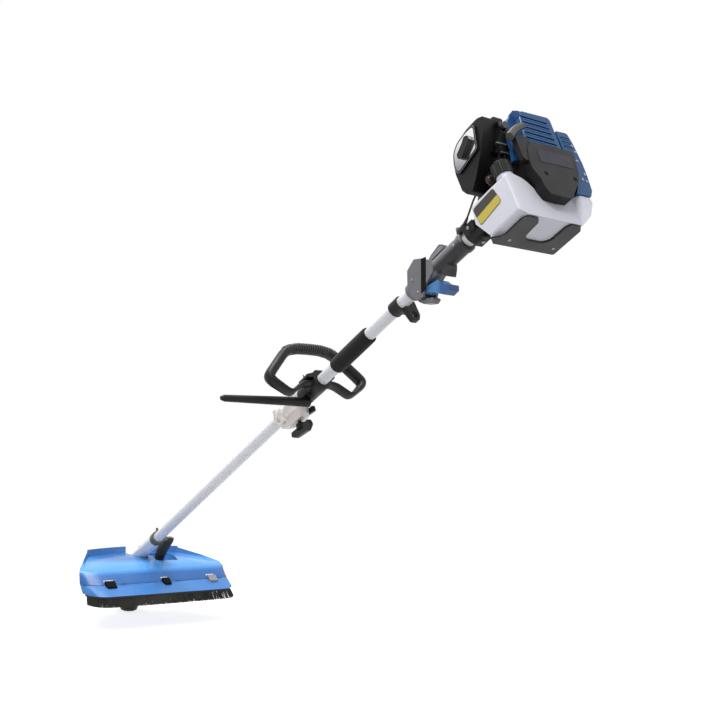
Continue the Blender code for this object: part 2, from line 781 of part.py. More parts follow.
# Clutch housing, drum and shoes.
case_profile = [(0, 50), (14, 50), (32, 44), (36, 38), (52, 28), (62, 19.6), (103, 19.6)]
case_profile += [(103, 10), (34, 10), (34, 40.5), (0, 40.5)]
clutch_case = turned(
    "clutch_housing", case_profile, "black_plastic", tool, at(1502), (0, 1, 0), 20, loop=True
)
join(clutch_case, box("lug", (-26, -1432, -9), (-15, -1404, 9), None, tool, cutter=True))
join(clutch_case, box("lug", (-9, -1432, -27), (9, -1404, -15), None, tool, cutter=True))
cut(clutch_case, rod("bore", at(1425), at(1390), TUBE_R + GAP, None, tool, cutter=True))
turned(
    "clutch_drum",
    [(0, 39), (28, 39), (28, 9), (70, 9), (70, SHAFT_R + GAP), (25, SHAFT_R + GAP), (25, 36.5), (0, 36.5)],
    "steel", tool, at(1499), (0, 1, 0), 14, loop=True,
)
shoes = turned(
    "clutch_shoes", [(0, 35.0), (16, 35.0), (16, 7.3), (0, 7.3)], "dark_steel", tool, at(1498), (0, 1, 0), 14,
    loop=True,
)
for turn in (0, 90):
    slot = box("slot", (-40, -1500, -2.5), (40, -1490, 2.5), None, tool, cutter=True)
    slot.rotation_euler.y = math.radians(turn)
    cut(shoes, slot)

# Fan housing and flywheel.
fan = turned(
    "fan_housing",
    [(0, 58), (27, 58), (27, 41), (24, 41), (24, 55), (0, 55)],
    "black_plastic", tool, at(1529.5), (0, 1, 0), 20, loop=True,
)
wheel = turned(
    "flywheel",
    [(0, 52), (4, 52), (4, 30), (19, 30), (19, 8), (0, 8)],
    "cast_aluminium", tool, at(1527), (0, 1, 0), 16, loop=True,
)
for i in range(8):
    a = 2 * math.pi * i / 8
    blade = box("blade", (28, -1525, -1.2), (50, -1508.5, 1.2), None, tool, cutter=True)
    blade.rotation_euler.y = a
    join(wheel, blade)

# Crankcase, crankshaft and cylinder.
CYL_S = 1558
NECK = (-77, -1569)
crankcase = prism(
    "crankcase",
    rounded([(-30, -36), (30, -36), (36, -24), (36, 34), (-36, 34), (-36, -24)], 5, 2),
    -1586, -1530, "dark_steel", tool, "y",
)
cut(
    crankcase,
    rod("chamber", at(1576), at(1540), 28, None, tool, 14, cutter=True),
    rod("shaft_hole", at(1600), at(1500), 8.6, None, tool, 12, cutter=True),
    rod("spigot_hole", (0, -CYL_S, 0), (0, -CYL_S, 60), 20, None, tool, 12, cutter=True),
)
SHAFT_PROFILE = [(0, 5), (12, 5), (12, 8), (22.5, 8), (22.5, 21.5), (31, 21.5), (31, 12), (45, 12)]
SHAFT_PROFILE += [(45, 21.5), (53.5, 21.5), (53.5, 8), (70, 8), (70, 7.7), (90, 7.7), (90, 7), (112, 7)]
turned("crankshaft", SHAFT_PROFILE, "steel", tool, at(1597), (0, 1, 0), 12)
fins = [(22, 19.6), (34.4, 19.6), (34.4, 27), (38, 27)]
for i in range(6):
    low = 41 + 6.2 * i
    fins += [(low, 18.6), (low, 23.4), (low + 2.4, 23.4), (low + 2.4, 18.6)]
fins += [(80, 18.6), (80, 14), (84, 12), (84, 5.2), (76, 5.2), (76, 15.6), (22, 15.6)]
cylinder = turned("cylinder", fins, "cast_aluminium", tool, (0, -CYL_S, 0), (0, 0, 1), 12, loop=True)
join(
    cylinder,
    box("intake", (-33.5, -1568, 37), (-16, -1548, 55), None, tool, cutter=True),
    box("exhaust", (16, -1568, 37), (33.5, -1548, 55), None, tool, cutter=True),
)
cut(
    cylinder,
    rod("intake_hole", (-40, -CYL_S, 46), (-10, -CYL_S, 46), 6, None, tool, 12, cutter=True),
    rod("exhaust_hole", (10, -CYL_S, 46), (40, -CYL_S, 46), 6, None, tool, 12, cutter=True),
)
turned(
    "spark_plug",
    [(74, 0), (74, 4.7), (84.3, 4.7), (84.3, 8), (89, 8), (89, 6), (92, 6), (93, 8.5), (102, 8.5), (102, 0)],
    "grey_plastic", tool, (0, -CYL_S, 0), (0, 0, 1), 12,
)

# Intake side: spacer, carburettor, air filter.
spacer = box("intake_spacer", (-41.7, -1566, 37), (-33.9, -1551.2, 55), "black_plastic", tool)
cut(spacer, rod("hole", (-60, -CYL_S, 46), (-20, -CYL_S, 46), 6, None, tool, 12, cutter=True))
carb = box("carburettor", (-61.6, -1566, 24), (-42, -1543, 50), "cast_aluminium", tool)
join(
    carb,
    turned("barrel", [(0, 9), (14, 9), (18, 7)], None, tool, (-52, -1555, 12), (0, 0, 1), 12, cutter=True),
)
cut(
    carb,
    rod("bore", (-80, -CYL_S, 42), (-20, -CYL_S, 42), 6, None, tool, 12, cutter=True),
    rod("cap_room", (*NECK, 0), (*NECK, 32), 18.9, None, tool, 20, cutter=True),
)
prism(
    "throttle_arm", rounded([(-56, -1560), (-48, -1560), (-47, -1540), (-53, -1540)], 2.2, 2), 50.4, 52.8,
    "dark_steel", tool, "z", origin=(-52, -1555, 50.4),
)

# The filter cover's outline leans back at its rear, and drops to a lower nose at its front.
FILTER = [
    (-1592, 93), (-1577, 101), (-1545, 101), (-1521, 94), (-1505, 84), (-1496, 69), (-1491, 48), (-1491, 12),
    (-1499, -3),
]
FILTER += [(-1511, -4), (-1530, 12), (-1558, 44)]
PANEL = [(-1570, 95), (-1545, 96), (-1521, 92), (-1505, 82), (-1496, 58), (-1498, 38), (-1557, 50)]
filter_base = prism(
    "air_filter_base", rounded(FILTER, [3, 5, 6, 6, 6, 6, 6, 5, 4, 4, 6, 6], 2), -72, -62, "black_plastic",
    tool, "x",
)
HOOD = [(-1590, 106), (-1531.5, 103), (-1531.5, 58), (-1567, 58), (-1567, 12), (-1571, 12), (-1575, 50)]
join(
    filter_base,
    prism("hood", rounded(HOOD, [5, 5, 2, 0.8, 0.8, 0.8, 3], 2), -65, -46, None, tool, "x", cutter=True),
    box("primer_plate", (-72, -1551, -9), (-66, -1527, 20), None, tool, cutter=True),
)
cut(
    filter_base,
    prism(
        "hood_room", [(-1585, 102), (-1534.5, 99), (-1534.5, 40), (-1567.4, 40), (-1569, 54)], -61.5, -30,
        None, tool, "x", cutter=True,
    ),
    rod("intake", (-80, -CYL_S, 42), (-50, -CYL_S, 42), 6, None, tool, 12, cutter=True),
    cut_box((-70, -1578, 5), (-58.2, -1560, 34), tool),
)
filter_cover = prism(
    "air_filter_cover", rounded(FILTER, [3, 6, 6, 8, 8, 8, 8, 6, 5, 5, 8, 8], 2), -96, -72.3, "black_plastic",
    tool, "x",
)
join(
    filter_cover,
    prism("rim", rounded(PANEL, [5, 8, 8, 8, 8, 8, 5], 2), -100, -94, None, tool, "x", cutter=True),
)
HOLLOW = [
    (-1584, 93), (-1576, 97), (-1545, 97), (-1523, 90), (-1508, 80), (-1500, 67), (-1495, 48), (-1495, 14),
    (-1501, 1),
]
HOLLOW += [(-1509, 0), (-1527, 15), (-1555, 49)]
cut(
    filter_cover,
    prism("hollow", HOLLOW, -93, -60, None, tool, "x", cutter=True),
    rod("knob_hole", (-110, -1536, 68), (-90, -1536, 68), 3.3, None, tool, 12, cutter=True),
)
element = prism(
    "air_filter_element",
    rounded([(-1502, 50), (-1508, 70), (-1524, 87), (-1547, 91), (-1572, 88), (-1556, 54)], 4, 2),
    -90, -73.5, "foam_rubber", tool, "x",
)
cut(element, rod("core", (-110, -1536, 68), (-60, -1536, 68), 5.5, None, tool, 12, cutter=True))
filter_knob = prism(
    "filter_knob",
    rounded(
        [
            (-1520, 58), (-1526, 54), (-1536, 62), (-1546, 66), (-1553, 73), (-1551, 80), (-1545, 82),
            (-1536, 75), (-1526, 70), (-1520, 65),
        ],
        2.4, 2,
    ),
    -109, -101, "black_plastic", tool, "x", origin=(-101, -1536, 68),
)
join(filter_knob, rod("screw", (-104, -1536, 68), (-74, -1536, 68), 3.0, None, tool, 12, cutter=True))
choke = prism(
    "choke_lever",
    rounded([(-62, 72), (-54, 72), (-47, 86), (-50, 92), (-56, 88), (-63, 79)], 2.4, 2),
    -1596, -1590.6, "grip_plastic", tool, "y", origin=(-58, -1590.6, 76),
)
turned(
    "primer_bulb",
    [(0, 9), (3, 10.5), (5, 8.5), (9, 7.5), (12, 5), (13, 2.5), (13, 0)],
    "bulb_rubber", tool, (-72.3, -1539, 2), (-1, 0, 0), 16, origin=(-72.3, -1539, 2),
)

# Fuel tank: three outlines cut to one another, then hollowed.
TANK = [
    (-95, -20), (-61, -29), (-51, -35), (-40, -46), (-36, -60), (38, -60), (48, -50), (93, -50), (88, -62),
]
TANK += [(68, -92), (50, -108), (-82, -108), (-95, -98)]
SIDE = [(-1498, -10), (-1491, -60), (-1511, -98), (-1518, -112), (-1602, -112), (-1602, -10)]
PLAN = [(-100, -1480), (100, -1480), (100, -1598), (62, -1598), (50, -1587), (-95, -1587), (-100, -1570)]
TANK_IN = [
    (-92, -23), (-63, -32), (-53, -38), (-43, -48), (-39, -63), (39, -63), (49, -53), (89, -53), (85, -62),
]
TANK_IN += [(66, -90), (49, -105), (-81, -105), (-92, -97)]
SIDE_IN = [(-1501, -10), (-1494, -60), (-1513, -97), (-1520, -112), (-1602, -112), (-1602, -10)]
PLAN_IN = [(-100, -1480), (100, -1480), (100, -1595), (64, -1595), (51, -1584), (-86, -1584), (-93, -1572)]


def tank_block(name, outline, side, plan, **more):
    """A block with the given front, side and top outlines."""
    block = prism(name, outline, -1605, -1480, "tank_plastic", tool, "y", **more)
    boolean(block, prism("side", side, -120, 120, None, tool, "x", cutter=True), "INTERSECT")
    return boolean(block, prism("plan", plan, -130, 10, None, tool, "z", cutter=True), "INTERSECT")


tank = tank_block(
    "fuel_tank", rounded(TANK, [8, 6, 5, 5, 4, 4, 4, 7, 5, 6, 8, 6, 8], 2), rounded(SIDE, 4, 2),
    rounded(PLAN, [4, 4, 4, 5, 5, 12, 2], 2),
)
room = tank_block("room", TANK_IN, SIDE_IN, PLAN_IN, cutter=True)
join(tank, rod("neck", (*NECK, -32), (*NECK, -4), 15, None, tool, 20, cutter=True))
cut(tank, room, rod("filler", (*NECK, -36), (*NECK, 10), 11.5, None, tool, 20, cutter=True))
turned(
    "fuel_cap",
    [(-3.7, 0), (-3.7, 15.3), (-17.5, 15.3), (-17.5, 17), (-16.5, 18), (7, 18), (9.5, 15), (9.5, 0)],
    "black_plastic", tool, (*NECK, 0), (0, 0, 1), 20, origin=(*NECK, -4),
)
STAND = [
    (-107, -1518), (-92, -1510), (52, -1508), (52, -1577), (44, -1585), (22, -1585), (16, -1578), (15, -1540),
]
STAND += [
    (3, -1530), (-36, -1530), (-47, -1540), (-50, -1576), (-58, -1584), (-80, -1584), (-87, -1577),
    (-86, -1528),
]
stand = prism("tank_stand", rounded(STAND, 3, 2), -112.3, -108.4, "stand_paint", tool, "z")
join(stand, box("lip", (-94, -1511, -112), (50, -1507.6, -101), None, tool, cutter=True))

# Recoil starter. A straight rope stands in for the wound one, behind the pulley.
RECOIL = [(-27, 42), (87, 46), (79, 16), (74, -6), (60, -30), (24, -71), (-3, -73), (-30, -71), (-37, -58)]
RECOIL += [(-38, -42), (-44, -31), (-49, -22), (-48, -4), (-40, 20)]
SHRUNK = [
    (-24.6, 39), (84, 43), (76.5, 17), (71.5, -5), (57.5, -28), (22.5, -68), (-3, -70), (-28, -68),
    (-34, -58),
]
SHRUNK += [(-35, -41), (-41, -30), (-46, -21), (-45, -5), (-37.4, 18)]
PULL = Vector((-0.562, 0, 0.827))
GRIP = Vector((-53, -1601.5, 59.5))
recoil = prism(
    "recoil_cover", rounded(RECOIL, [3, 8, 5, 5, 4, 6, 8, 6, 4, 5, 5, 6, 6, 5], 2), -1607, -1587.8,
    "black_plastic", tool, "y",
)
GUIDE = [(-59, 24), (-57, 45), (-48, 50), (-36, 54), (-20, 44), (-20, 20), (-38, -8), (-59, -3)]
join(
    recoil,
    prism(
        "rope_guide", rounded(GUIDE, [5, 4, 3, 4, 2, 2, 2, 6], 2), -1606, -1596.4, None, tool, "y",
        cutter=True,
    ),
)
cut(
    recoil,
    prism("hollow", SHRUNK, -1604.4, -1580, None, tool, "y", cutter=True),
    rod("rope_hole", GRIP, GRIP - PULL * 48, 2.4, None, tool, 12, cutter=True),
)
turned(
    "starter_pulley",
    [(0, 29), (1.5, 29), (1.5, 25), (5.5, 25), (5.5, 29), (7, 29), (7, 5.3), (0, 5.3)],
    "grey_plastic", tool, at(1596), (0, 1, 0), 16, loop=True,
)
grip_path = smooth_path([(-73, -1606, 41), (-60, -1606, 53), (-44, -1606, 66), (-27, -1606, 76)], 9)
grip = finish(
    "starter_handle", as_mesh(wire("starter_handle", grip_path, 7), Matrix()), "grip_plastic", tool,
    origin=GRIP,
)
join(grip, rod("rope", GRIP, GRIP - PULL * 118, 1.5, None, tool, 8, cutter=True))

# Blue covers over the cylinder and the muffler. The slatted box stands out behind the wider body.
BODY = [
    (-45, 62), (-44, 78), (-31, 104), (-16, 121), (2, 124), (67, 126), (72, 121), (69, 54), (50, 46),
    (-40, 46),
]
BODY_IN = [
    (-42, 40), (-41.4, 77), (-29, 102.5), (-15, 118.4), (2, 121.4), (66, 123.4), (69.4, 120), (66.4, 40),
]
SLATS = [(-26, 46.6), (-10, 114), (0, 123), (67, 126), (72, 121), (67, 52)]
SLATS_IN = [(-23, 49), (-7.2, 112.8), (1.2, 120.5), (66, 123.4), (69.4, 120), (64.6, 54.4)]
engine_cover = prism(
    "engine_cover", rounded(BODY, [1, 5, 8, 6, 5, 5, 5, 3, 3, 1], 2), -1587.2, -1531.2, "cover_blue", tool,
    "y",
)
join(
    engine_cover,
    prism("slat_box", rounded(SLATS, [2, 3, 3, 5, 5, 2], 2), -1600, -1580, None, tool, "y", cutter=True),
    prism(
        "fin", [(-1603, 108), (-1601, 120), (-1592, 128), (-1581, 127), (-1573, 121), (-1570, 108)], -12, -5,
        None, tool, "x", cutter=True,
    ),
    prism(
        "flange", [(-47, 66), (-36, 66), (-40, 14), (-60, 9), (-50, 40)], -1586.6, -1580, None, tool, "y",
        cutter=True,
    ),
)
cut(
    engine_cover,
    prism("under", BODY_IN, -1584.8, -1533.8, None, tool, "y", cutter=True),
    prism("slat_room", SLATS_IN, -1597.4, -1580, None, tool, "y", cutter=True),
    cut_box((-70, -1576, 20), (-30, -1537, 62), tool),
    cut_box((50, -1576, 20), (80, -1537, 62), tool),
)
for i in range(5):
    z = 58.5 + 12.5 * i
    left = -21 + 17 * (z - 46) / 73
    cut(engine_cover, cut_box((left, -1620, z - 2.8), (59, -1590, z + 2.8), tool))
muffler = prism(
    "muffler", [(60, -31), (97, -31), (97, 47), (78, 47), (60, 40)], -1582, -1537, "dark_steel", tool, "y"
)
join(muffler, rod("neck", (33.9, -CYL_S, 46), (78, -CYL_S, 46), 8, None, tool, 16, cutter=True))
cut(muffler, rod("port", (20, -CYL_S, 43), (75, -CYL_S, 43), 4.5, None, tool, 12, cutter=True))
HOT = [
    (54, -49), (90, -49), (101, -33), (107, 0), (110, 30), (109, 76), (105, 99), (74, 97), (72.6, 51),
    (54, 44),
]
HOT_IN = [
    (40, -46.4), (88.6, -46.4), (98.6, -32), (104.4, 0), (107.4, 30), (106.4, 76), (103, 96.4), (76.4, 94.4),
]
HOT_IN += [(75, 49), (40, 35.9)]
hot = prism(
    "muffler_cover", rounded(HOT, [1, 4, 5, 6, 6, 6, 5, 3, 1, 1], 2), -1600, -1532, "cover_blue", tool, "y"
)
cut(
    hot,
    prism("hollow", HOT_IN, -1597.4, -1534.6, None, tool, "y", cutter=True),
    prism(
        "recoil_room",
        [(30, -60), (46, -60), (64, -33), (78, -7), (83, 16), (90, 47.6), (30, 47.6)],
        -1620, -1587.4, None, tool, "y", cutter=True,
    ),
    cut_box((50, -1568, 34), (80, -1548, 56), tool),
)
for i in range(3):
    z = 64 + 10 * i
    cut(hot, cut_box((79, -1620, z - 2), (103, -1590, z + 2), tool))

# Throttle cable, from the handle round the clutch housing to the carburettor.
CABLE = [at(1386.5, -13, 16), at(1412, -23, 14), at(1444, -40, 12), at(1472, -55.5, 11), at(1490, -59.6, 15)]
CABLE += [at(1508, -59.7, 20), at(1524, -58.6, 29), at(1534, -53.5, 38.5), at(1542, -52, 40)]
cable = as_mesh(wire("throttle_cable", smooth_path(CABLE, 11), 1.9), Matrix())
finish("throttle_cable", cable, "cable_black", tool)
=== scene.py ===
"""Looks of the multi-tool brush cutter: finishes, fine surfaces, small trim, studio and camera."""

import json
import math

import bmesh
import bpy
from mathutils import Matrix, Vector


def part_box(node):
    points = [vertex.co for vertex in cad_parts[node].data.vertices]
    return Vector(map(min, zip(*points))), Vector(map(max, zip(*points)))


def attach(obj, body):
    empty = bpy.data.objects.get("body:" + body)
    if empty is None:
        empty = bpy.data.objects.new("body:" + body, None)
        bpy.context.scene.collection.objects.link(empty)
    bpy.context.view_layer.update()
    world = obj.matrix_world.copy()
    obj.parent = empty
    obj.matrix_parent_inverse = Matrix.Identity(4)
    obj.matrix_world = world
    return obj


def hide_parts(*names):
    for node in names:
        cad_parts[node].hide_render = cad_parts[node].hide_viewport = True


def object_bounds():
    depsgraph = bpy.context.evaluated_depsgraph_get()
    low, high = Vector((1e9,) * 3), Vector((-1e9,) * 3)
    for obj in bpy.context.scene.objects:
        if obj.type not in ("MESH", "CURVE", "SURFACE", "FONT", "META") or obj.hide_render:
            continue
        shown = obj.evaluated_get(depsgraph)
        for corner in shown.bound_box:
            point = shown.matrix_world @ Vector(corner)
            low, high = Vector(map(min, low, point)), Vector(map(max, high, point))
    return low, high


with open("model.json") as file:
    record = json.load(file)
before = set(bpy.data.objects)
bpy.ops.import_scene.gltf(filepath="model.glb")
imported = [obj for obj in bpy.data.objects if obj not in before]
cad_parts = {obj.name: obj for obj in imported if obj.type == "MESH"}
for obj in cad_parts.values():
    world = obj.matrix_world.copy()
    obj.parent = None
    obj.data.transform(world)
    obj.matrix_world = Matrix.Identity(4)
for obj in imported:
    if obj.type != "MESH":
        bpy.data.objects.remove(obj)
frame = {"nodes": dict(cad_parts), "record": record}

CAD_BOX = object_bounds()
NODES = frame["nodes"]
BODY_OF = {node: body for body, nodes in frame["record"]["behaviour"]["bodies"].items() for node in nodes}
SLOT_OF = {entry["node"]: entry["material_slot"] for entry in frame["record"]["subparts"]}
SEED = 11

# The two frames of the part's own design, in millimetres: along the leaning tube, and level at the head.
MM = 0.001
PITCH = math.radians(31)
EYE = Vector((14, -1184, -30))
TOOL = Matrix.Scale(MM, 4) @ Matrix.Rotation(-PITCH, 4, "X") @ Matrix.Translation(-EYE)
HEAD = Matrix.Translation(TOOL @ Vector((0, 0, 0))) @ Matrix.Scale(MM, 4)
# Directions in either frame. DOWN_TUBE points from the engine to the head.
ACROSS = (1, 0, 0)
DOWN_TUBE = (0, 1, 0)
UP = (0, 0, 1)


# Materials.
def linear(code):
    """A linear colour with full alpha, from an sRGB hex code."""
    channels = [int(code[i:i + 2], 16) / 255 for i in (1, 3, 5)]
    return [c / 12.92 if c <= 0.04045 else ((c + 0.055) / 1.055) ** 2.4 for c in channels] + [1.0]


def add(tree, kind, values=None, links=None, **settings):
    """A node with its settings, its input values and the sockets that feed it."""
    node = tree.nodes.new(kind)
    for name, value in settings.items():
        setattr(node, name, value)
    for name, value in (values or {}).items():
        node.inputs[name].default_value = value
    for name, source in (links or {}).items():
        tree.links.new(source, node.inputs[name])
    return node


CLOUD_DETAIL = 5.0
GRAIN_DETAIL = 3.0
GLOSS_SPREAD = 0.06
SCUFF_MM = 9


def opened(made):
    """A finish's tree, its shader and the place on the object that its patterns read."""
    tree = made.node_tree
    return tree, tree.nodes["Principled BSDF"], add(tree, "ShaderNodeTexCoord").outputs["Object"]


def two_tones(tree, share, first, second):
    """A colour between two hex codes, at a share that comes from the tree."""
    tones = {6: linear(first), 7: linear(second)}
    return add(tree, "ShaderNodeMix", tones, {0: share}, data_type="RGBA").outputs[2]


def finish(name, colour, second, rough, cloud_mm, grain_mm, depth_mm, wear=None, shine=0.5, **shader_values):
    """Two near tones in soft clouds, gloss that varies with them, and a fine grain in the surface.

    wear adds a third tone in small scuffs, a grain depth of 0 leaves the surface smooth, and shine is how
    strongly it mirrors, with 0.5 as the shader's own value.
    """
    made = bpy.data.materials.new(name)
    made.use_nodes = True
    tree, shader, place = opened(made)
    shader.inputs["Specular IOR Level"].default_value = shine
    for socket, value in shader_values.items():
        shader.inputs[socket.replace("_", " ")].default_value = value
    clouds = {"Scale": 1000 / cloud_mm, "Detail": CLOUD_DETAIL}
    cloud = add(tree, "ShaderNodeTexNoise", clouds, {"Vector": place})
    tone = two_tones(tree, cloud.outputs["Fac"], colour, second)
    if wear:
        spots = {"Scale": 1000 / SCUFF_MM, "Detail": 8.0, "Roughness": 0.7}
        scuff = add(tree, "ShaderNodeTexNoise", spots, {"Vector": place})
        edges = {"From Min": 0.6, "From Max": 0.75, "To Max": 0.6}
        amount = add(tree, "ShaderNodeMapRange", edges, {"Value": scuff.outputs["Fac"]}).outputs[0]
        rubbed = {7: linear(wear)}
        tone = add(tree, "ShaderNodeMix", rubbed, {0: amount, 6: tone}, data_type="RGBA").outputs[2]
    tree.links.new(tone, shader.inputs["Base Color"])
    span = {"From Min": 0.3, "From Max": 0.7, "To Min": rough - GLOSS_SPREAD, "To Max": rough + GLOSS_SPREAD}
    gloss = add(tree, "ShaderNodeMapRange", span, {"Value": cloud.outputs["Fac"]})
    tree.links.new(gloss.outputs[0], shader.inputs["Roughness"])
    if depth_mm:
        fine = {"Scale": 1000 / grain_mm, "Detail": GRAIN_DETAIL}
        grain = add(tree, "ShaderNodeTexNoise", fine, {"Vector": place})
        relief = {"Strength": 0.6, "Distance": depth_mm * MM}
        bump = add(tree, "ShaderNodeBump", relief, {"Height": grain.outputs["Fac"]})
        tree.links.new(bump.outputs[0], shader.inputs["Normal"])
    return made


# The numbers are roughness, then cloud size, grain size and grain depth in millimetres. Real mould and blast
# grain is a few tenths of a millimetre, too fine to show here, so it is drawn at about 1 to 2 mm.
FINISHES = {
    # Injection-moulded polypropylene: even, slightly waxy blue with broad soft highlights.
    "blue_plastic": finish(
        "moulded_polypropylene_blue", "#2F6DB5", "#3878C2", 0.3, 90, 2.0, 0.05, shine=0.45),
    # Glass-filled nylon: deeper blue, a dry gloss and a faint fibre grain.
    "cover_blue": finish("moulded_nylon_dark_blue", "#15436F", "#1D5287", 0.4, 50, 1.4, 0.06, shine=0.3),
    # Moulded acetal: clear mid blue, smooth and a little slippery to look at.
    "trigger_blue": finish("moulded_acetal_blue", "#4179B4", "#4C86C2", 0.38, 30, 1.2, 0.04, shine=0.4),
    # Glass-filled nylon in black, spark-eroded mould: a fine even grain that keeps it nearly matt.
    "black_plastic": finish(
        "moulded_nylon_black", "#0E0E0F", "#151516", 0.46, 40, 1.4, 0.1, "#202022", shine=0.28),
    # The same nylon in dark grey: dry and even, with its edges readable against the black.
    "grey_plastic": finish("moulded_nylon_grey", "#2C2C2E", "#38383B", 0.5, 30, 1.4, 0.1, shine=0.35),
    # Blow-moulded polyethylene: milky, with a little light passing into the wall, and a soft uneven skin.
    "tank_plastic": finish(
        "blown_polyethylene", "#DCDDE8", "#E6E7F0", 0.4, 70, 6.0, 0.25, Subsurface_Weight=0.12,
        Subsurface_Radius=(0.006, 0.006, 0.007), shine=0.35),
    # Baked powder coat on the tubes: near white and satin, its tone and gloss drifting in broad clouds.
    "tube_paint": finish("powder_coat_white", "#E6E7EE", "#EAEBF1", 0.34, 120, 3.0, 0),
    # Closed-cell foam rubber with its skin cut off: dull black, pitted by its cells.
    "foam_rubber": finish(
        "closed_cell_foam_black", "#1A1919", "#232223", 0.92, 20, 1.6, 0.5, shine=0.2,
        Sheen_Weight=0.15),
    # Drawn nylon bristle: brown-black strands with a soft shine along them.
    "bristle": finish("drawn_nylon_bristle_black", "#201F1F", "#33322F", 0.5, 14, 1.0, 0.02, shine=0.3),
    # Bead-blasted die casting: pinkish grey, satin, with small dark scuffs.
    "cast_aluminium": finish(
        "blasted_die_cast_aluminium", "#CCC4C1", "#B9B1AE", 0.46, 30, 1.2, 0.15, "#8F8784", Metallic=0.7),
    # Turned steel: mid grey metal with clear highlights and a trace of tool marks.
    "steel": finish("turned_steel", "#A9A9AC", "#8E8E92", 0.32, 12, 0.8, 0.03, Metallic=1.0),
    # Black oxide on pressed steel: brown-black, with worn lighter spots.
    "dark_steel": finish(
        "black_oxide_pressed_steel", "#2E2823", "#3B342D", 0.42, 18, 1.0, 0.06, "#5B5047", Metallic=0.35),
    # Stove enamel on bent sheet: flat dark grey, slightly grainy.
    "stand_paint": finish("stove_enamel_grey", "#464648", "#4D4D4F", 0.55, 40, 1.0, 0.08, shine=0.3),
    # Moulded clear rubber, seen dark: brown depth under a wet-looking shine.
    "bulb_rubber": finish("clear_dark_rubber", "#3A2A20", "#2A1E17", 0.25, 12, 1.0, 0.02),
    # Moulded smoked nylon: olive brown, with lighter spots where fingers rub it.
    "grip_plastic": finish(
        "smoked_nylon_olive", "#3B372E", "#4C463A", 0.38, 16, 1.4, 0.08, "#6B6456", shine=0.35),
    # Moulded nylon in signal red: plain and even, easy to find by eye.
    "signal_red": finish("moulded_nylon_red", "#B5281E", "#C03228", 0.4, 12, 1.0, 0.04),
    # Extruded vinyl sheath: smooth black with one long highlight.
    "cable_black": finish("extruded_vinyl_black", "#121212", "#1A1A1A", 0.42, 12, 1.0, 0.02, shine=0.35),
}

# Finishes of single pieces, each within the slot that its piece states.
# Nylon ribs rubbed by hands: greyer and smoother than the grip they stand on.
RIB_GREY = finish("rubbed_nylon_ribs", "#434345", "#505052", 0.42, 12, 1.0, 0.04, shine=0.4)
# Moulded nylon in light grey: plain, dry and pale among the blacks. On the guard's right clip this pale grey
# is a painted reflection.
PALE_GREY = finish("moulded_nylon_pale", "#87868C", "#96959B", 0.4, 20, 1.4, 0.06, shine=0.4)
# A thin light line on the black nylon of an edge: a painted highlight.
EDGE_PAINTED_HIGHLIGHT = finish("nylon_edge_painted_highlight", "#7C7C80", "#8C8C90", 0.35, 10, 1.0, 0.03, shine=0.4)
# Die casting darkened as painted shade under the hood: brown grey, lighter in spots.
CARB_PAINTED_SHADE = finish("die_casting_painted_shade", "#33302E", "#403C39", 0.4, 14, 1.2, 0.1, "#5A544F", Metallic=0.5)
# Die casting blasted and kept clean: pale, slightly pink, satin.
PALE_CAST = finish(
    "blasted_pale_casting", "#DDD8D5", "#CCC5C2", 0.42, 26, 1.2, 0.12, "#A29B98", Metallic=0.45)
# Die casting polished pale: nearly white, with soft highlights.
BRIGHT_CAST = finish("polished_pale_casting", "#F1EFED", "#E6E3E0", 0.38, 26, 1.2, 0.06, Metallic=0.15)
# Pressed steel with its coating worn through: warm grey with lighter spots.
WORN_STEEL = finish("worn_pressed_steel", "#5E594E", "#6F6A5E", 0.4, 18, 1.0, 0.06, "#8A8577", Metallic=0.4)
# Moulded polypropylene in a lighter blue than the shell: the skirt reads as its own part.
SKIRT_BLUE = finish("moulded_skirt_blue", "#3B79C0", "#4584CC", 0.34, 90, 2.0, 0.05, shine=0.4)
# Nylon from a polished mould: black with sharp highlights.
GLOSS_BLACK = finish("polished_nylon_black", "#0C0C0D", "#141415", 0.22, 30, 2.0, 0.02, shine=0.4)
# Flat black that gives back hardly any light: painted shade behind slots and in screw wells, and plain black
# nylon on clips and trim.
DEEP_BLACK = finish("flat_black_and_painted_shade", "#070707", "#0B0B0B", 0.8, 30, 2.0, 0.05, shine=0.15)
# Cover nylon on its rolled lips, lighter and smoother as a painted highlight, so that each slot has a bright
# rim.
LIP_BLUE_PAINTED_HIGHLIGHT = finish("nylon_lip_blue_painted_highlight", "#3F7DBA", "#4B8AC8", 0.35, 20, 1.2, 0.03, shine=0.4)
# Plain printed film in three colours: flat, even and a little shinier than what it sticks to.
PLATE_DARK = finish("plain_label_film_dark", "#17162A", "#1D1C31", 0.4, 20, 4.0, 0.004, shine=0.3)
PATCH_YELLOW = finish("plain_label_film_yellow", "#C9B548", "#D3C052", 0.35, 30, 5.0, 0.01)
PATCH_DARK = finish("plain_label_film_charcoal", "#35342A", "#3C3B30", 0.35, 30, 5.0, 0.01)
# Light grey metal on two thin ribs: painted highlights, two small bright touches in the dark of the engine.
RIB_PAINTED_HIGHLIGHT = finish("rib_edges_painted_highlight", "#D8D8D8", "#C6C6C8", 0.3, 10, 1.0, 0.02, Metallic=0.6)
# Stove enamel on a folded edge: nearly black, so that the stand has an outline.
STAND_EDGE = finish("stove_enamel_edge", "#1D1D1E", "#262627", 0.5, 20, 1.0, 0.05, shine=0.3)
# Moulded polypropylene in the shade of a joint: deep dull blue.
SEAM_DARK = finish("shadowed_joint_line", "#14243C", "#1B3050", 0.6, 20, 1.0, 0.02, shine=0.2)


# Heights in metres, from the filter lid's foot and from its top, between which the plate's painted reflection
# changes.
TINT_FROM_FOOT = 0.022
TINT_FROM_TOP = 0.02


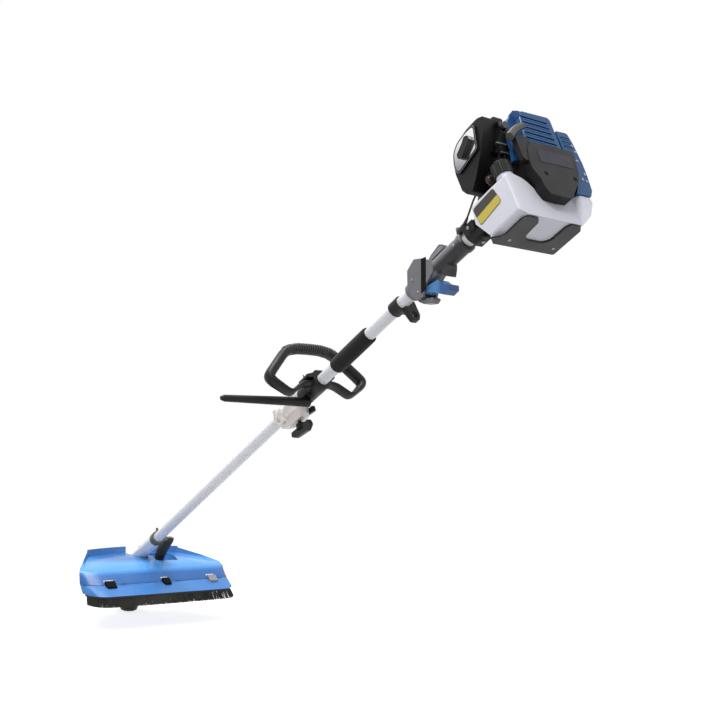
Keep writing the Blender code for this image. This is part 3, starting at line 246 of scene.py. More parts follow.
def chrome_painted_reflection_finish():
    """Bright chrome plate: nearly a mirror, with a painted reflection falling from white at the top to violet
    grey at the foot.
    """
    made = finish("chrome_plate_painted_reflection", "#F2F2F2", "#E8E8EA", 0.16, 30, 6.0, 0.02, Metallic=1.0)
    tree, shader, place = opened(made)
    low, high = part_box("air_filter_cover")
    split = add(tree, "ShaderNodeSeparateXYZ", links={0: place})
    reach = {"From Min": low[2] + TINT_FROM_FOOT, "From Max": high[2] - TINT_FROM_TOP}
    rise = add(
        tree, "ShaderNodeMapRange", reach, {"Value": split.outputs[2]}, interpolation_type="SMOOTHSTEP")
    tree.links.new(two_tones(tree, rise.outputs[0], "#6E6B7C", "#F4F4F2"), shader.inputs["Base Color"])
    return made


def banded(made, socket, low, high, stops):
    """The same finish with its tone ruled by the place along one world axis: (share, colour) stops."""
    tree, shader, place = opened(made)
    split = add(tree, "ShaderNodeSeparateXYZ", links={0: place})
    span = {"From Min": low, "From Max": high}
    reach = add(tree, "ShaderNodeMapRange", span, {"Value": split.outputs[socket]})
    ramp = add(tree, "ShaderNodeValToRGB", links={0: reach.outputs[0]})
    for share, colour in stops[1:-1]:
        ramp.color_ramp.elements.new(share).color = linear(colour)
    ramp.color_ramp.elements[0].color = linear(stops[0][1])
    ramp.color_ramp.elements[-1].color = linear(stops[-1][1])
    tree.links.new(ramp.outputs[0], shader.inputs["Base Color"])
    return made


# World heights, in metres, between which the guard's blue changes, from painted shade on the upright faces to
# a painted highlight across the crown.
GUARD_LOW = -0.6721
GUARD_HIGH = -0.6071


def guard_painted_light_finish():
    """Polypropylene blue with painted light by height: painted shade keeps the upright faces deep blue, and a
    painted highlight pales the crown.
    """
    made = finish("guard_blue_painted_light", "#2F6DB5", "#3878C2", 0.27, 90, 2.0, 0.03, shine=0.5)
    stops = [
        (0, "#2A62A4"), (0.3, "#2F6CB4"), (0.45, "#5CA4EE"), (0.62, "#63AAF2"), (0.7, "#3A78BC"),
        (1, "#3A76B6"),
    ]
    return banded(made, 2, GUARD_LOW, GUARD_HIGH, stops)


def trigger_painted_shade_finish():
    """Acetal, with painted shade darkening its rear lobe."""
    made = finish("trigger_blue_painted_shade", "#4179B4", "#4C86C2", 0.38, 30, 1.2, 0.04, shine=0.4)
    low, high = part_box("throttle_trigger")
    stops = [(0, "#2C5690"), (0.3, "#2F5C98"), (0.42, "#4A84BE"), (1, "#5089C2")]
    return banded(made, 1, low[1], high[1], stops)


# Where the handle's grip begins, in the tube's frame, and the metres above and below over which its painted
# shade comes in.
GRIP_START = (0, -1300, -1)
FADE_UNDER = (0.005, -0.006)
FADE_BEHIND = (0.004, -0.004)


def handle_painted_shade_finish():
    """Glass-filled nylon, grey where light reaches it, and darkened under the grip as painted shade."""
    made = finish("handle_grey_painted_shade", "#6C6B70", "#7A797E", 0.4, 40, 1.4, 0.1, shine=0.4)
    tree, shader, place = opened(made)
    tilt = add(tree, "ShaderNodeMapping", {"Rotation": (PITCH, 0, 0)}, {"Vector": place})
    split = add(tree, "ShaderNodeSeparateXYZ", links={0: tilt.outputs[0]})
    start = Matrix.Rotation(PITCH, 3, "X") @ (TOOL @ Vector(GRIP_START))
    shares = []
    for axis, (near, far) in ((2, FADE_UNDER), (1, FADE_BEHIND)):
        fade = {"From Min": start[axis] + near, "From Max": start[axis] + far}
        along = {"Value": split.outputs[axis]}
        shares.append(add(tree, "ShaderNodeMapRange", fade, along, interpolation_type="SMOOTHSTEP"))
    both = {i: share.outputs[0] for i, share in enumerate(shares)}
    dark = add(tree, "ShaderNodeMath", links=both, operation="MULTIPLY")
    tree.links.new(two_tones(tree, dark.outputs[0], "#737277", "#252427"), shader.inputs["Base Color"])
    return made


CHROME_PAINTED_REFLECTION = chrome_painted_reflection_finish()
HANDLE_GREY_PAINTED_SHADE = handle_painted_shade_finish()
for node, slot in SLOT_OF.items():
    NODES[node].data.materials.clear()
    NODES[node].data.materials.append(FINISHES[slot])


# Making of pieces.

# The most of a side that one corner's arc may take.
SIDE_SHARE = 0.48


def rounded(corners, radius, steps=5):
    """An outline with each corner turned on an arc, with one radius for all or a list of them."""
    out = []
    n = len(corners)
    for i, corner in enumerate(corners):
        here = Vector(corner)
        back = Vector(corners[i - 1]) - here
        ahead = Vector(corners[(i + 1) % n]) - here
        r = radius[i] if isinstance(radius, (list, tuple)) else radius
        cut = min(r / math.tan(back.angle(ahead) / 2), SIDE_SHARE * back.length, SIDE_SHARE * ahead.length)
        start, end = here + back.normalized() * cut, here + ahead.normalized() * cut
        for k in range(steps + 1):
            t = k / steps
            out.append(tuple((1 - t) ** 2 * start + 2 * t * (1 - t) * here + t * t * end))
    return out


def oblong(left, low, right, high):
    """The four corners of an upright oblong."""
    return [(left, low), (right, low), (right, high), (left, high)]


def placed_in_scene(name, data):
    """A new object of the scene for a mesh, a lamp or a lens."""
    made = bpy.data.objects.new(name, data)
    bpy.context.scene.collection.objects.link(made)
    return made


def piece(name, mesh, finish_used, body, stands_for=(), smooth=40):
    """An object at the origin with its mesh, finish and body."""
    made = placed_in_scene(name, mesh)
    mesh.materials.clear()
    mesh.materials.append(finish_used)
    mesh.shade_smooth()
    mesh.set_sharp_from_angle(angle=math.radians(smooth))
    if stands_for:
        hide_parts(*stands_for)
    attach(made, body)
    return made


# Edges sharper than this are rounded.
SHARP = math.radians(30)


def solid(work, place, edge=0.0, steps=2):
    """A mesh from a closed bmesh in millimetres, its sharp edges rounded and its faces turned outwards."""
    if edge:
        sharp = [e for e in work.edges if len(e.link_faces) == 2 and e.calc_face_angle(0) > SHARP]
        bmesh.ops.bevel(
            work, geom=sharp, offset=edge, segments=steps, affect="EDGES", profile=0.5, clamp_overlap=True)
    bmesh.ops.transform(work, matrix=place, verts=work.verts)
    bmesh.ops.recalc_face_normals(work, faces=work.faces)
    mesh = bpy.data.meshes.new("solid")
    work.to_mesh(mesh)
    work.free()
    return mesh


AXES = {"x": lambda a, b, h: (h, a, b), "y": lambda a, b, h: (a, h, b), "z": lambda a, b, h: (a, b, h)}


def slab(outline, low, high, along="x", place=TOOL, edge=0.0, steps=2):
    """A mesh of an outline drawn out along one axis."""
    work = bmesh.new()
    rings = [[work.verts.new(AXES[along](a, b, h)) for a, b in outline] for h in (low, high)]
    n = len(outline)
    work.faces.new(rings[0])
    work.faces.new(reversed(rings[1]))
    for i in range(n):
        work.faces.new((rings[0][i], rings[1][i], rings[1][(i + 1) % n], rings[0][(i + 1) % n]))
    return solid(work, place, edge, steps)


def turned(profile, centre, axis, place=TOOL, sides=24):
    """A mesh of revolution: (height, radius) pairs round an axis through centre."""
    work = bmesh.new()
    turn = Vector(UP).rotation_difference(Vector(axis).normalized()).to_matrix()
    rings = []
    for h, r in profile:
        if r <= 0:
            rings.append([work.verts.new(Vector(centre) + turn @ Vector((0, 0, h)))])
            continue
        ring = []
        for i in range(sides):
            a = 2 * math.pi * i / sides
            ring.append(work.verts.new(Vector(centre) + turn @ Vector((r * math.cos(a), r * math.sin(a), h))))
        rings.append(ring)
    for one, two in zip(rings, rings[1:]):
        for i in range(sides):
            j = (i + 1) % sides
            if len(one) == 1:
                work.faces.new((one[0], two[i], two[j]))
            elif len(two) == 1:
                work.faces.new((one[i], two[0], one[j]))
            else:
                work.faces.new((one[i], two[i], two[j], one[j]))
    for ring in (rings[0], rings[-1]):
        if len(ring) > 1:
            work.faces.new(ring)
    return solid(work, place)


def wrapped(work, rings, sides, closed=False):
    """Faces from each ring to the next, and caps on the ends of an open row."""
    pairs = list(zip(rings, rings[1:]))
    if closed:
        pairs.append((rings[-1], rings[0]))
    for one, two in pairs:
        for k in range(sides):
            work.faces.new((one[k], one[(k + 1) % sides], two[(k + 1) % sides], two[k]))
    if not closed:
        work.faces.new(rings[0])
        work.faces.new(rings[-1])


def bead(path, radius, place=TOOL, sides=8, closed=False):
    """A mesh of a round line along a path, with one radius for all or a list of them."""
    work = bmesh.new()
    points = [Vector(p) for p in path]
    n = len(points)
    radii = radius if isinstance(radius, list) else [radius] * n
    turn = [2 * math.pi * k / sides for k in range(sides)]
    side = None
    rings = []
    for i, (p, r) in enumerate(zip(points, radii)):
        back = points[i - 1] if (i or closed) else p
        ahead = points[(i + 1) % n] if (i < n - 1 or closed) else p
        run = (ahead - back).normalized()
        if side is None:
            side = run.orthogonal()
        side = (side - run * side.dot(run)).normalized()
        other = run.cross(side)
        rings.append([work.verts.new(p + r * (side * math.cos(a) + other * math.sin(a))) for a in turn])
    wrapped(work, rings, sides, closed)
    return solid(work, place)


def joined(*meshes):
    """One mesh of several."""
    work = bmesh.new()
    for mesh in meshes:
        work.from_mesh(mesh)
    out = bpy.data.meshes.new("joined")
    work.to_mesh(out)
    work.free()
    return out


def plain(holder):
    """The mesh of an object after its modifiers, and the object gone."""
    graph = bpy.context.evaluated_depsgraph_get()
    out = bpy.data.meshes.new_from_object(holder.evaluated_get(graph))
    bpy.data.objects.remove(holder)
    return out


def evaluated(mesh, *modifiers):
    """A mesh after modifiers, each given as (type, settings)."""
    holder = placed_in_scene("holder", mesh)
    for kind, settings in modifiers:
        mod = holder.modifiers.new(kind, kind)
        for name, value in settings.items():
            setattr(mod, name, value)
    return plain(holder)


def less(mesh, *cutters):
    """A mesh with others cut out of it."""
    for cutter in cutters:
        tool = placed_in_scene("cutter", cutter)
        mesh = evaluated(mesh, ("BOOLEAN", {"object": tool, "operation": "DIFFERENCE", "solver": "EXACT"}))
        bpy.data.objects.remove(tool)
    return mesh


# Tubes are sliced along their length, at these stations in millimetres, because very long thin faces shade
# unevenly.
LONG = {"upper_tube", "lower_tube"}
SLICES = range(3, 1603, 25)
DOUBLES = 2e-6
FLAT_ENOUGH = math.radians(1.5)
BEVELLED = math.radians(32)


def softened(node, width, finish_used):
    """A merged copy of a node with rounded edges, which stands for the node."""
    work = bmesh.new()
    work.from_mesh(NODES[node].data)
    bmesh.ops.remove_doubles(work, verts=work.verts, dist=DOUBLES)
    bmesh.ops.dissolve_limit(work, angle_limit=FLAT_ENOUGH, verts=work.verts, edges=work.edges)
    if node in LONG:
        along = TOOL.to_3x3() @ Vector(DOWN_TUBE)
        for station in SLICES:
            whole = work.verts[:] + work.edges[:] + work.faces[:]
            at = TOOL @ Vector((0, -station, 0))
            bmesh.ops.bisect_plane(work, geom=whole, plane_co=at, plane_no=along)
    mesh = bpy.data.meshes.new(node)
    work.to_mesh(mesh)
    work.free()
    mesh.shade_smooth()
    bevel = {"width": width * MM, "segments": 2, "limit_method": "ANGLE", "angle_limit": BEVELLED}
    mesh = evaluated(mesh, ("BEVEL", bevel), ("WEIGHTED_NORMAL", {"keep_sharp": True}))
    slot = SLOT_OF[node]
    return piece(node + "_surface", mesh, finish_used or FINISHES[slot], BODY_OF[node], [node])


# Air filter: outlines in the tube's side view, as (station, height).
FILTER = [
    (-1592, 93), (-1577, 101), (-1545, 101), (-1521, 94), (-1505, 84), (-1496, 69), (-1491, 48),
    (-1491, 12), (-1499, -3), (-1511, -4), (-1530, 12), (-1558, 44),
]
PANEL = [(-1570, 95), (-1545, 96), (-1521, 92), (-1505, 82), (-1496, 58), (-1498, 38), (-1557, 50)]
KNOB = [
    (-1526, 53), (-1517.5, 57), (-1518, 66), (-1526, 70), (-1537, 76), (-1546, 83), (-1554.5, 79),
    (-1554, 70), (-1546, 65.5), (-1535, 60),
]
FILTER_SCREW = (-1536, 68)
SCREW_BORE = 3.3


def drawn_in(outline, inset):
    """An outline moved inwards by a few millimetres."""
    n = len(outline)
    centre = sum((Vector(p) for p in outline), Vector((0, 0))) / n
    out = []
    for i, p in enumerate(outline):
        here = Vector(p)
        a = (here - Vector(outline[i - 1])).normalized()
        b = (Vector(outline[(i + 1) % n]) - here).normalized()
        one, two = Vector((a.y, -a.x)), Vector((b.y, -b.x))
        if one.dot(here - centre) < 0:
            one, two = -one, -two
        inward = -(one + two).normalized()
        share = inset / max(0.5, -inward.dot(one))
        out.append(tuple(here + inward * share))
    return out


def air_filter():
    """The lid with its rim, the bright plate with its painted reflection, its line and the mouldings in
    painted highlight, the knob and the choke's well.
    """
    bore = turned([(-20, SCREW_BORE), (20, SCREW_BORE)], (-90, *FILTER_SCREW), ACROSS)
    lid_outline = rounded(FILTER, [5, 30, 30, 30, 30, 30, 30, 10, 7, 10, 30, 30])
    inside = slab(rounded(drawn_in(FILTER, 4), 5), -92.5, -60)
    lid = less(slab(lid_outline, -96, -72.3, edge=2.6, steps=3), inside, bore)
    rim = less(slab(rounded(PANEL, [7, 30, 30, 30, 30, 16, 8]), -100, -95, edge=1.0), bore)
    piece(
        "air_filter_cover_surface", joined(lid, rim), FINISHES["black_plastic"], "filter_lid",
        ["air_filter_cover"])
    plate = slab(rounded(drawn_in(PANEL, 3.6), [5, 30, 30, 30, 30, 14, 6]), -100.8, -99.6, edge=0.4)
    piece("air_filter_plate", less(plate, bore), CHROME_PAINTED_REFLECTION, "filter_lid")
    border = rounded(drawn_in(PANEL, 1.1), [6, 30, 30, 30, 30, 15, 7])
    line = bead([(-100.1, y, z) for y, z in border], 0.55, closed=True)
    piece("air_filter_rim_line", line, EDGE_PAINTED_HIGHLIGHT, "filter_lid")
    mouldings = joined(
        slab(rounded(oblong(-1577.6, 53.2, -1575.4, 55), 0.6, 2), -71, -47),
        slab(rounded(oblong(-1575.6, 35.2, -1573.4, 36.6), 0.5, 2), -66, -47),
    )
    piece("air_filter_mouldings", mouldings, RIB_PAINTED_HIGHLIGHT, "power_unit")
    knob = slab(rounded(KNOB, 4.5), -109, -101.2, edge=1.6, steps=3)
    stem = turned([(0, 3.0), (30, 3.0)], (-104, *FILTER_SCREW), ACROSS)
    piece(
        "filter_knob_surface", joined(knob, stem), GLOSS_BLACK, "filter_screw",
        ["filter_knob"])
    well = turned([(0, 11), (0, 9), (-2.2, 9), (-2.2, 11)], (-57, -1590.4, 80), DOWN_TUBE)
    piece("choke_well", well, GLOSS_BLACK, "power_unit")


# Depths, as stations down the tube, of the covers' rolled lips and of the dark sheets of painted shade behind
# their slots.
LIPS = (-1600.8, -1598.6)
SLOT_SHADE_DEPTHS = (-1597.2, -1596.4)


def engine_covers():
    """A lip under each slot of the two covers, in a painted highlight, and a dark sheet of painted shade
    behind the slots.
    """
    lips = []
    for i in range(5):
        z = 58.5 + 12.5 * i
        left = -21 + 17 * (z - 46) / 73
        lips.append(slab(rounded(oblong(left, z - 3.5, 59, z - 2.5), 0.4, 2), *LIPS, "y"))
    edge = [(-25, 47.5), (-9.6, 113), (-4, 120)]
    lips.append(bead([(x, -1599.8, z) for x, z in edge], 1.2))
    piece("engine_cover_lips", joined(*lips), LIP_BLUE_PAINTED_HIGHLIGHT, "power_unit")
    more = []
    for i in range(3):
        z = 64 + 10 * i
        more.append(slab(rounded(oblong(80, z - 2.7, 102, z - 1.8), 0.4, 2), *LIPS, "y"))
    piece("muffler_cover_lips", joined(*more), LIP_BLUE_PAINTED_HIGHLIGHT, "power_unit")
    behind = joined(
        slab([(-20, 53), (60, 55), (60, 113), (-8, 112)], *SLOT_SHADE_DEPTHS, "y"),
        slab(oblong(79.5, 60, 102.5, 87), *SLOT_SHADE_DEPTHS, "y"),
    )
    piece("cover_screens", behind, DEEP_BLACK, "power_unit")


def starter_trim():
    """The plain plate on the starter's cover, and dark discs of painted shade for the wells of its two
    screws.
    """
    corners = [(-15, 27.5), (72, 30), (66, 1), (-19.5, -0.5)]
    plate = slab(rounded(corners, 2.5, 4), -1607.5, -1606.6, "y", edge=0.15)
    piece("starter_plate", plate, PLATE_DARK, "power_unit")
    wells = [(-18, -1607, -26), (56, -1607, -23)]
    holes = [turned([(0, 4.6), (-0.25, 4.6)], at, DOWN_TUBE) for at in wells]
    piece("starter_screw_wells", joined(*holes), DEEP_BLACK, "power_unit")


def tank_patch():
    """The plain film on the tank's left face: a dark patch, and a yellow one over its lower half."""
    corners = [(-1496, -33), (-1551, -29.5), (-1558, -62), (-1500, -70)]
    patch = slab(rounded(corners, 6, 5), -95.45, -94.9, edge=0.1)
    middle = [(-1498.6, -52), (-1554.2, -46), (-1556.8, -61), (-1501, -68.6)]
    lower = slab(rounded(middle, [1.5, 1.5, 5, 5], 5), -95.75, -95.2, edge=0.1)
    piece("tank_patch_upper", patch, PATCH_DARK, "power_unit")
    piece("tank_patch_lower", lower, PATCH_YELLOW, "power_unit")


# The stand's outline from below, as (across, station), and the radius of each corner.
STAND = [
    (-107, -1518), (-92, -1510), (52, -1508), (52, -1577), (44, -1585), (22, -1585), (16, -1578),
    (15, -1540), (3, -1530), (-36, -1530), (-47, -1540), (-50, -1576), (-58, -1584), (-80, -1584),
    (-87, -1577), (-86, -1528),
]
STAND_RADII = [2, 4, 4, 10, 9, 9, 9, 12, 14, 14, 12, 9, 9, 9, 9, 12]


def tank_stand():
    """The stand's plate with its upright lip, and the dark folded edge round it."""
    outline = rounded(STAND, STAND_RADII)
    plate = slab(outline, -112.3, -108.4, "z", edge=0.5)
    lip = slab(rounded(oblong(-94, -1511, 50, -1507.6), 1), -112, -101, "z", edge=0.5)
    piece(
        "tank_stand_surface", joined(plate, lip), FINISHES["stand_paint"], "power_unit",
        ["tank_stand"])
    rolled = bead([(x, y, -109.1) for x, y in outline], 1.25, closed=True)
    piece("tank_stand_edge", rolled, STAND_EDGE, "power_unit")


def handle_trim():
    """The black band across the handle's side, the lock-out's dark ridge and the cable's tapering boot."""
    outline = [(-1280.5, 31), (-1293.7, 26.5), (-1265.7, -29), (-1250.5, -29.5)]
    band = slab(rounded(outline, 1, 2), -19.0, -18.2, edge=0.2)
    piece("handle_band", band, DEEP_BLACK, "power_unit")
    ridge = bead([(-5.0, -1293, 29.9), (-5.0, -1322, 35.4), (-5.0, -1331, 29.4)], 0.7)
    piece("lockout_edge", ridge, DEEP_BLACK, "lockout")
    route = [(-13, -1387, 16), (-16, -1396, 15.2), (-22, -1410, 14.2), (-31, -1428, 13)]
    boot = bead(route, [6.5, 5.6, 3.6, 2.3], sides=16)
    piece("cable_boot", boot, FINISHES["cable_black"], "power_unit")


CAP_AT = (-77, -1569)
FLUTES = 24


def fluted_cap():
    """The fuel cap: a hollow skirt with flutes for the fingers, under a domed top."""
    outline = []
    for i in range(4 * FLUTES):
        a = 2 * math.pi * i / (4 * FLUTES)
        r = 17.9 - 0.9 * max(0.0, math.cos(a * FLUTES))
        outline.append((CAP_AT[0] + r * math.cos(a), CAP_AT[1] + r * math.sin(a)))
    skirt = slab(outline, -16.5, 6.5, "z")
    top = turned([(6.4, 17.0), (8.6, 15.8), (9.5, 13.5), (9.5, 0)], (*CAP_AT, 0), UP, sides=40)
    hollow = turned([(-20, 15.3), (-3.7, 15.3)], (*CAP_AT, 0), UP, sides=32)
    cap = joined(less(skirt, hollow), top)
    piece("fuel_cap_surface", cap, FINISHES["black_plastic"], "cap", ["fuel_cap"])


# Front handle: half of the loop's centre line, as (across, height), at its station down the tube.
HALF = [
    (0, 88), (30, 87), (52, 82), (70, 70), (92, 46), (112, 24), (122, 11), (116, 0), (100, -12), (84, -24),
    (74, -25), (60, -15), (46, -5), (34, -1), (15, -1),
]
LOOP_STATION = -862
LOOP_SIDES = 20
# A power below 1 squares the grip's oval section up a little.
SQUARENESS = 0.85


def squared(wave):
    """A sine or cosine pushed outwards, for a section between an oval and an oblong."""
    return math.copysign(abs(wave) ** SQUARENESS, wave)


def loop_handle():
    """The loop, thin at its two arms and thick in the grip, with the saddle that holds it on the tube."""
    half = [(0, 88)] + rounded(HALF, 30, 3)[4:-4] + [(15, -1)]
    path = [(-x, z) for x, z in reversed(half)] + half[1:]
    work = bmesh.new()
    rings = []
    for i, (x, z) in enumerate(path):
        back, ahead = path[max(i - 1, 0)], path[min(i + 1, len(path) - 1)]
        run = Vector((ahead[0] - back[0], ahead[1] - back[1])).normalized()
        share = min(1.0, max(0.0, (z + 25) / 40)) if abs(x) > 74 or z > 12 else 0.0
        a, b = (10 + 11 * share) / 2, (27 + share) / 2
        ring = []
        for k in range(LOOP_SIDES):
            t = 2 * math.pi * k / LOOP_SIDES
            off = a * squared(math.cos(t))
            wide = b * squared(math.sin(t))
            ring.append(work.verts.new((x - run.y * off, LOOP_STATION + wide, z + run.x * off)))
        rings.append(ring)
    wrapped(work, rings, LOOP_SIDES)
    loop = solid(work, TOOL)
    saddle = turned([(0, 20.2), (0.8, 21), (39.2, 21), (40, 20.2)], (0, -882, 0), DOWN_TUBE, sides=40)
    upper_half = slab(oblong(-60, 5.5, 60, 60), -900, -820, "y")
    bore = turned([(0, 13.3), (80, 13.3)], (0, -900, 0), DOWN_TUBE, sides=40)
    piece(
        "loop_handle_surface", joined(loop, less(saddle, upper_half, bore)), FINISHES["black_plastic"],
        "power_unit", ["loop_handle"], smooth=50)


# Guard: rows across it from left (u = -1) to right (u = 1), in the head's frame. Each is its half width, its
# depth, its height and how far its ends wrap back.
GUARD_ROWS = {
    "split": (212, -76, -88, 38),
    "brush_top": (207, -121, -109.4, 66),
    "brush_bottom": (214, -136, -135, 58),
}
CORNER_FROM = 0.76


def guard_point(u, row):
    """The place on a row at one share of its width, its ends carried back on a quarter of an oval."""
    reach, y, height, wrap = GUARD_ROWS[row]
    corner = max(0.0, abs(u) - CORNER_FROM) / (1 - CORNER_FROM)
    return Vector((u * reach, y + wrap * (1 - math.sqrt(max(0.0, 1 - corner * corner))), height))


def guard_recess():
    """The shaded floor of the recess behind the neck."""
    floor = slab([(26, 6), (84, 6), (95, 88), (39, 88), (26, 67)], -60.2, -59.6, "z", HEAD)
    piece("guard_recess_floor", floor, SEAM_DARK, "attachment")


def guard_seam():
    """The dark line between shell and skirt, gently scalloped."""
    path = []
    for i in range(161):
        u = -0.985 + 1.97 * i / 160
        wave = 1.1 * math.sin(u * 34) * max(0.0, math.sin(u * 9 + 0.8))
        path.append(guard_point(u, "split") + Vector((0, -0.15, -0.3 + wave)))
    piece("guard_seam", bead(path, 0.75, HEAD, 6), SEAM_DARK, "attachment", smooth=60)


# Geometry Nodes: bristles, ribs and screws.
def node_tree(name, inputs):
    """An empty geometry tree with named inputs, each (name, socket type, value)."""
    tree = bpy.data.node_groups.new(name, "GeometryNodeTree")
    tree.interface.new_socket("Geometry", in_out="INPUT", socket_type="NodeSocketGeometry")
    tree.interface.new_socket("Geometry", in_out="OUTPUT", socket_type="NodeSocketGeometry")
    for label, kind, value in inputs:
        socket = tree.interface.new_socket(label, in_out="INPUT", socket_type=kind)
        if value is not None:
            socket.default_value = value
    return tree, add(tree, "NodeGroupInput").outputs


def through_tree(mesh, tree, values):
    """The plain mesh that a geometry tree makes of a mesh."""
    holder = placed_in_scene("holder", mesh)
    grow = holder.modifiers.new("grow", "NODES")
    grow.node_group = tree
    keys = {item.name: item.identifier for item in tree.interface.items_tree if item.in_out == "INPUT"}
    for label, value in values.items():
        grow[keys[label]] = value
    return plain(holder)


def close_tree(tree, shapes, material):
    """The end of each tree: instances made real, in one finish."""
    real = add(tree, "GeometryNodeRealizeInstances", links={0: shapes})
    coated = add(tree, "GeometryNodeSetMaterial", links={"Geometry": real.outputs[0], "Material": material})
    add(tree, "NodeGroupOutput", links={0: coated.outputs[0]})


def bristle_tree():
    """Tapered bristles over a band, each along its band's flow with a small lean of its own."""
    tree, given = node_tree("bristles", [
        ("Density", "NodeSocketFloat", 600000.0), ("Length", "NodeSocketFloat", 0.03),
        ("Thickness", "NodeSocketFloat", 0.0006), ("Lean", "NodeSocketFloat", 0.08),
        ("Seed", "NodeSocketInt", SEED), ("Finish", "NodeSocketMaterial", None),
    ])
    spread = add(
        tree, "GeometryNodeDistributePointsOnFaces",
        links={"Mesh": given["Geometry"], "Density": given["Density"], "Seed": given["Seed"]})
    flow = add(tree, "GeometryNodeInputNamedAttribute", {"Name": "flow"}, data_type="FLOAT_VECTOR")
    stray = add(
        tree, "FunctionNodeRandomValue", {0: (-1, -1, -1), 1: (1, 1, 1)}, {"Seed": given["Seed"]},
        data_type="FLOAT_VECTOR")
    strays = {0: stray.outputs[0], "Scale": given["Lean"]}
    lean = add(tree, "ShaderNodeVectorMath", links=strays, operation="SCALE")
    aim = add(tree, "ShaderNodeVectorMath", links={0: flow.outputs[0], 1: lean.outputs[0]}, operation="ADD")
    turn = add(tree, "FunctionNodeAlignRotationToVector", links={"Vector": aim.outputs[0]}, axis="Z")
    taper = {"Vertices": 5, "Radius Top": 0.45, "Radius Bottom": 1.0, "Depth": 1.0}
    bristle = add(tree, "GeometryNodeMeshCone", taper, fill_type="NGON")
    sizes = {0: given["Thickness"], 1: given["Thickness"], 2: given["Length"]}
    size = add(tree, "ShaderNodeCombineXYZ", links=sizes)
    vary = add(tree, "FunctionNodeRandomValue", {2: 0.94, 3: 1.0, "Seed": SEED}, data_type="FLOAT")
    lengths = {0: size.outputs[0], "Scale": vary.outputs[1]}
    long = add(tree, "ShaderNodeVectorMath", links=lengths, operation="SCALE")
    placed = add(
        tree, "GeometryNodeInstanceOnPoints",
        links={"Points": spread.outputs[0], "Instance": bristle.outputs[0], "Rotation": turn.outputs[0],
               "Scale": long.outputs[0]})
    close_tree(tree, placed.outputs[0], given["Finish"])
    return tree


def guard_inward(u, row):
    """The level direction from a row's place towards the guard's middle."""
    ahead = guard_point(min(u + 0.01, 1), row) - guard_point(max(u - 0.01, -1), row)
    return Vector(UP).cross(ahead).normalized()


def brush_band(start, end, steps, depth):
    """A flat band under the skirt, with the way its bristles flow in an attribute."""
    work = bmesh.new()
    rows = []
    flows = []
    for i in range(steps + 1):
        u = start + (end - start) * i / steps
        out = guard_point(u, "brush_top")
        inward = guard_inward(u, "brush_top")
        low = out - Vector((0, 0, 4))
        rows.append((work.verts.new(low + inward * 0.6), work.verts.new(low + inward * depth)))
        flows += [(guard_point(u, "brush_bottom") - out).normalized()] * 2
    for one, two in zip(rows, rows[1:]):
        work.faces.new((one[0], one[1], two[1], two[0]))
    bmesh.ops.transform(work, matrix=HEAD, verts=work.verts)
    mesh = bpy.data.meshes.new("band")
    work.to_mesh(mesh)
    work.free()
    store = mesh.attributes.new("flow", "FLOAT_VECTOR", "POINT")
    for i, flow in enumerate(flows):
        store.data[i].vector = flow
    return mesh


# Shares of the skirt's width between which the bristles stand, with their number per square metre.
TUFTS = ((-0.995, 0.25, 900000.0), (0.25, 0.6, 520000.0), (0.6, 0.995, 330000.0))


def brush():
    """The bristles, sparser towards the right, and the strip that they are set in."""
    tree = bristle_tree()
    made = []
    values = {"Thickness": 0.0008, "Lean": 0.05, "Seed": SEED, "Finish": FINISHES["bristle"]}
    for start, end, density in TUFTS:
        band = brush_band(start, end, 60, 6.8)
        made.append(through_tree(band, tree, {**values, "Density": density, "Length": 0.0255}))
    work = bmesh.new()
    rings = []
    for i in range(121):
        u = -0.998 + 1.996 * i / 120
        out = guard_point(u, "brush_top")
        inward = guard_inward(u, "brush_top") * 7
        down = Vector((0, 0, -4.6))
        rings.append([work.verts.new(p) for p in (out, out + inward, out + inward + down, out + down)])
    wrapped(work, rings, 4)
    backing = solid(work, HEAD, 0.4)
    piece(
        "guard_brush_bristles", joined(backing, *made), FINISHES["bristle"], "skirt",
        ["guard_brush"])


def ring_tree():
    """Raised rings along a path in the loop's plane, each as wide as the grip."""
    tree, given = node_tree("grip_rings", [
        ("Spacing", "NodeSocketFloat", 0.0045), ("Half height", "NodeSocketFloat", 0.0107),
        ("Half width", "NodeSocketFloat", 0.0142), ("Thickness", "NodeSocketFloat", 0.0009),
        ("Tube", "NodeSocketVector", (0, 1, 0)), ("Finish", "NodeSocketMaterial", None),
    ])
    path = add(tree, "GeometryNodeMeshToCurve", links={"Mesh": given["Geometry"]})
    stations = add(
        tree, "GeometryNodeCurveToPoints", links={"Curve": path.outputs[0], "Length": given["Spacing"]},
        mode="LENGTH")
    ring = add(tree, "GeometryNodeCurvePrimitiveCircle", {"Resolution": 28, "Radius": 1.0})
    oval = add(tree, "ShaderNodeCombineXYZ", {2: 1.0}, {0: given["Half height"], 1: given["Half width"]})
    ring = add(tree, "GeometryNodeTransform", links={"Geometry": ring.outputs[0], "Scale": oval.outputs[0]})
    wire = add(tree, "GeometryNodeCurvePrimitiveCircle", {"Resolution": 8}, {"Radius": given["Thickness"]})
    section = {"Curve": ring.outputs[0], "Profile Curve": wire.outputs[0]}
    hoop = add(tree, "GeometryNodeCurveToMesh", links=section)
    turn = add(
        tree, "FunctionNodeAxesToRotation",
        links={"Primary Axis": stations.outputs["Tangent"], "Secondary Axis": given["Tube"]},
        primary_axis="Z", secondary_axis="Y")
    placed = add(
        tree, "GeometryNodeInstanceOnPoints",
        links={"Points": stations.outputs[0], "Instance": hoop.outputs[0], "Rotation": turn.outputs[0]})
    close_tree(tree, placed.outputs[0], given["Finish"])
    return tree


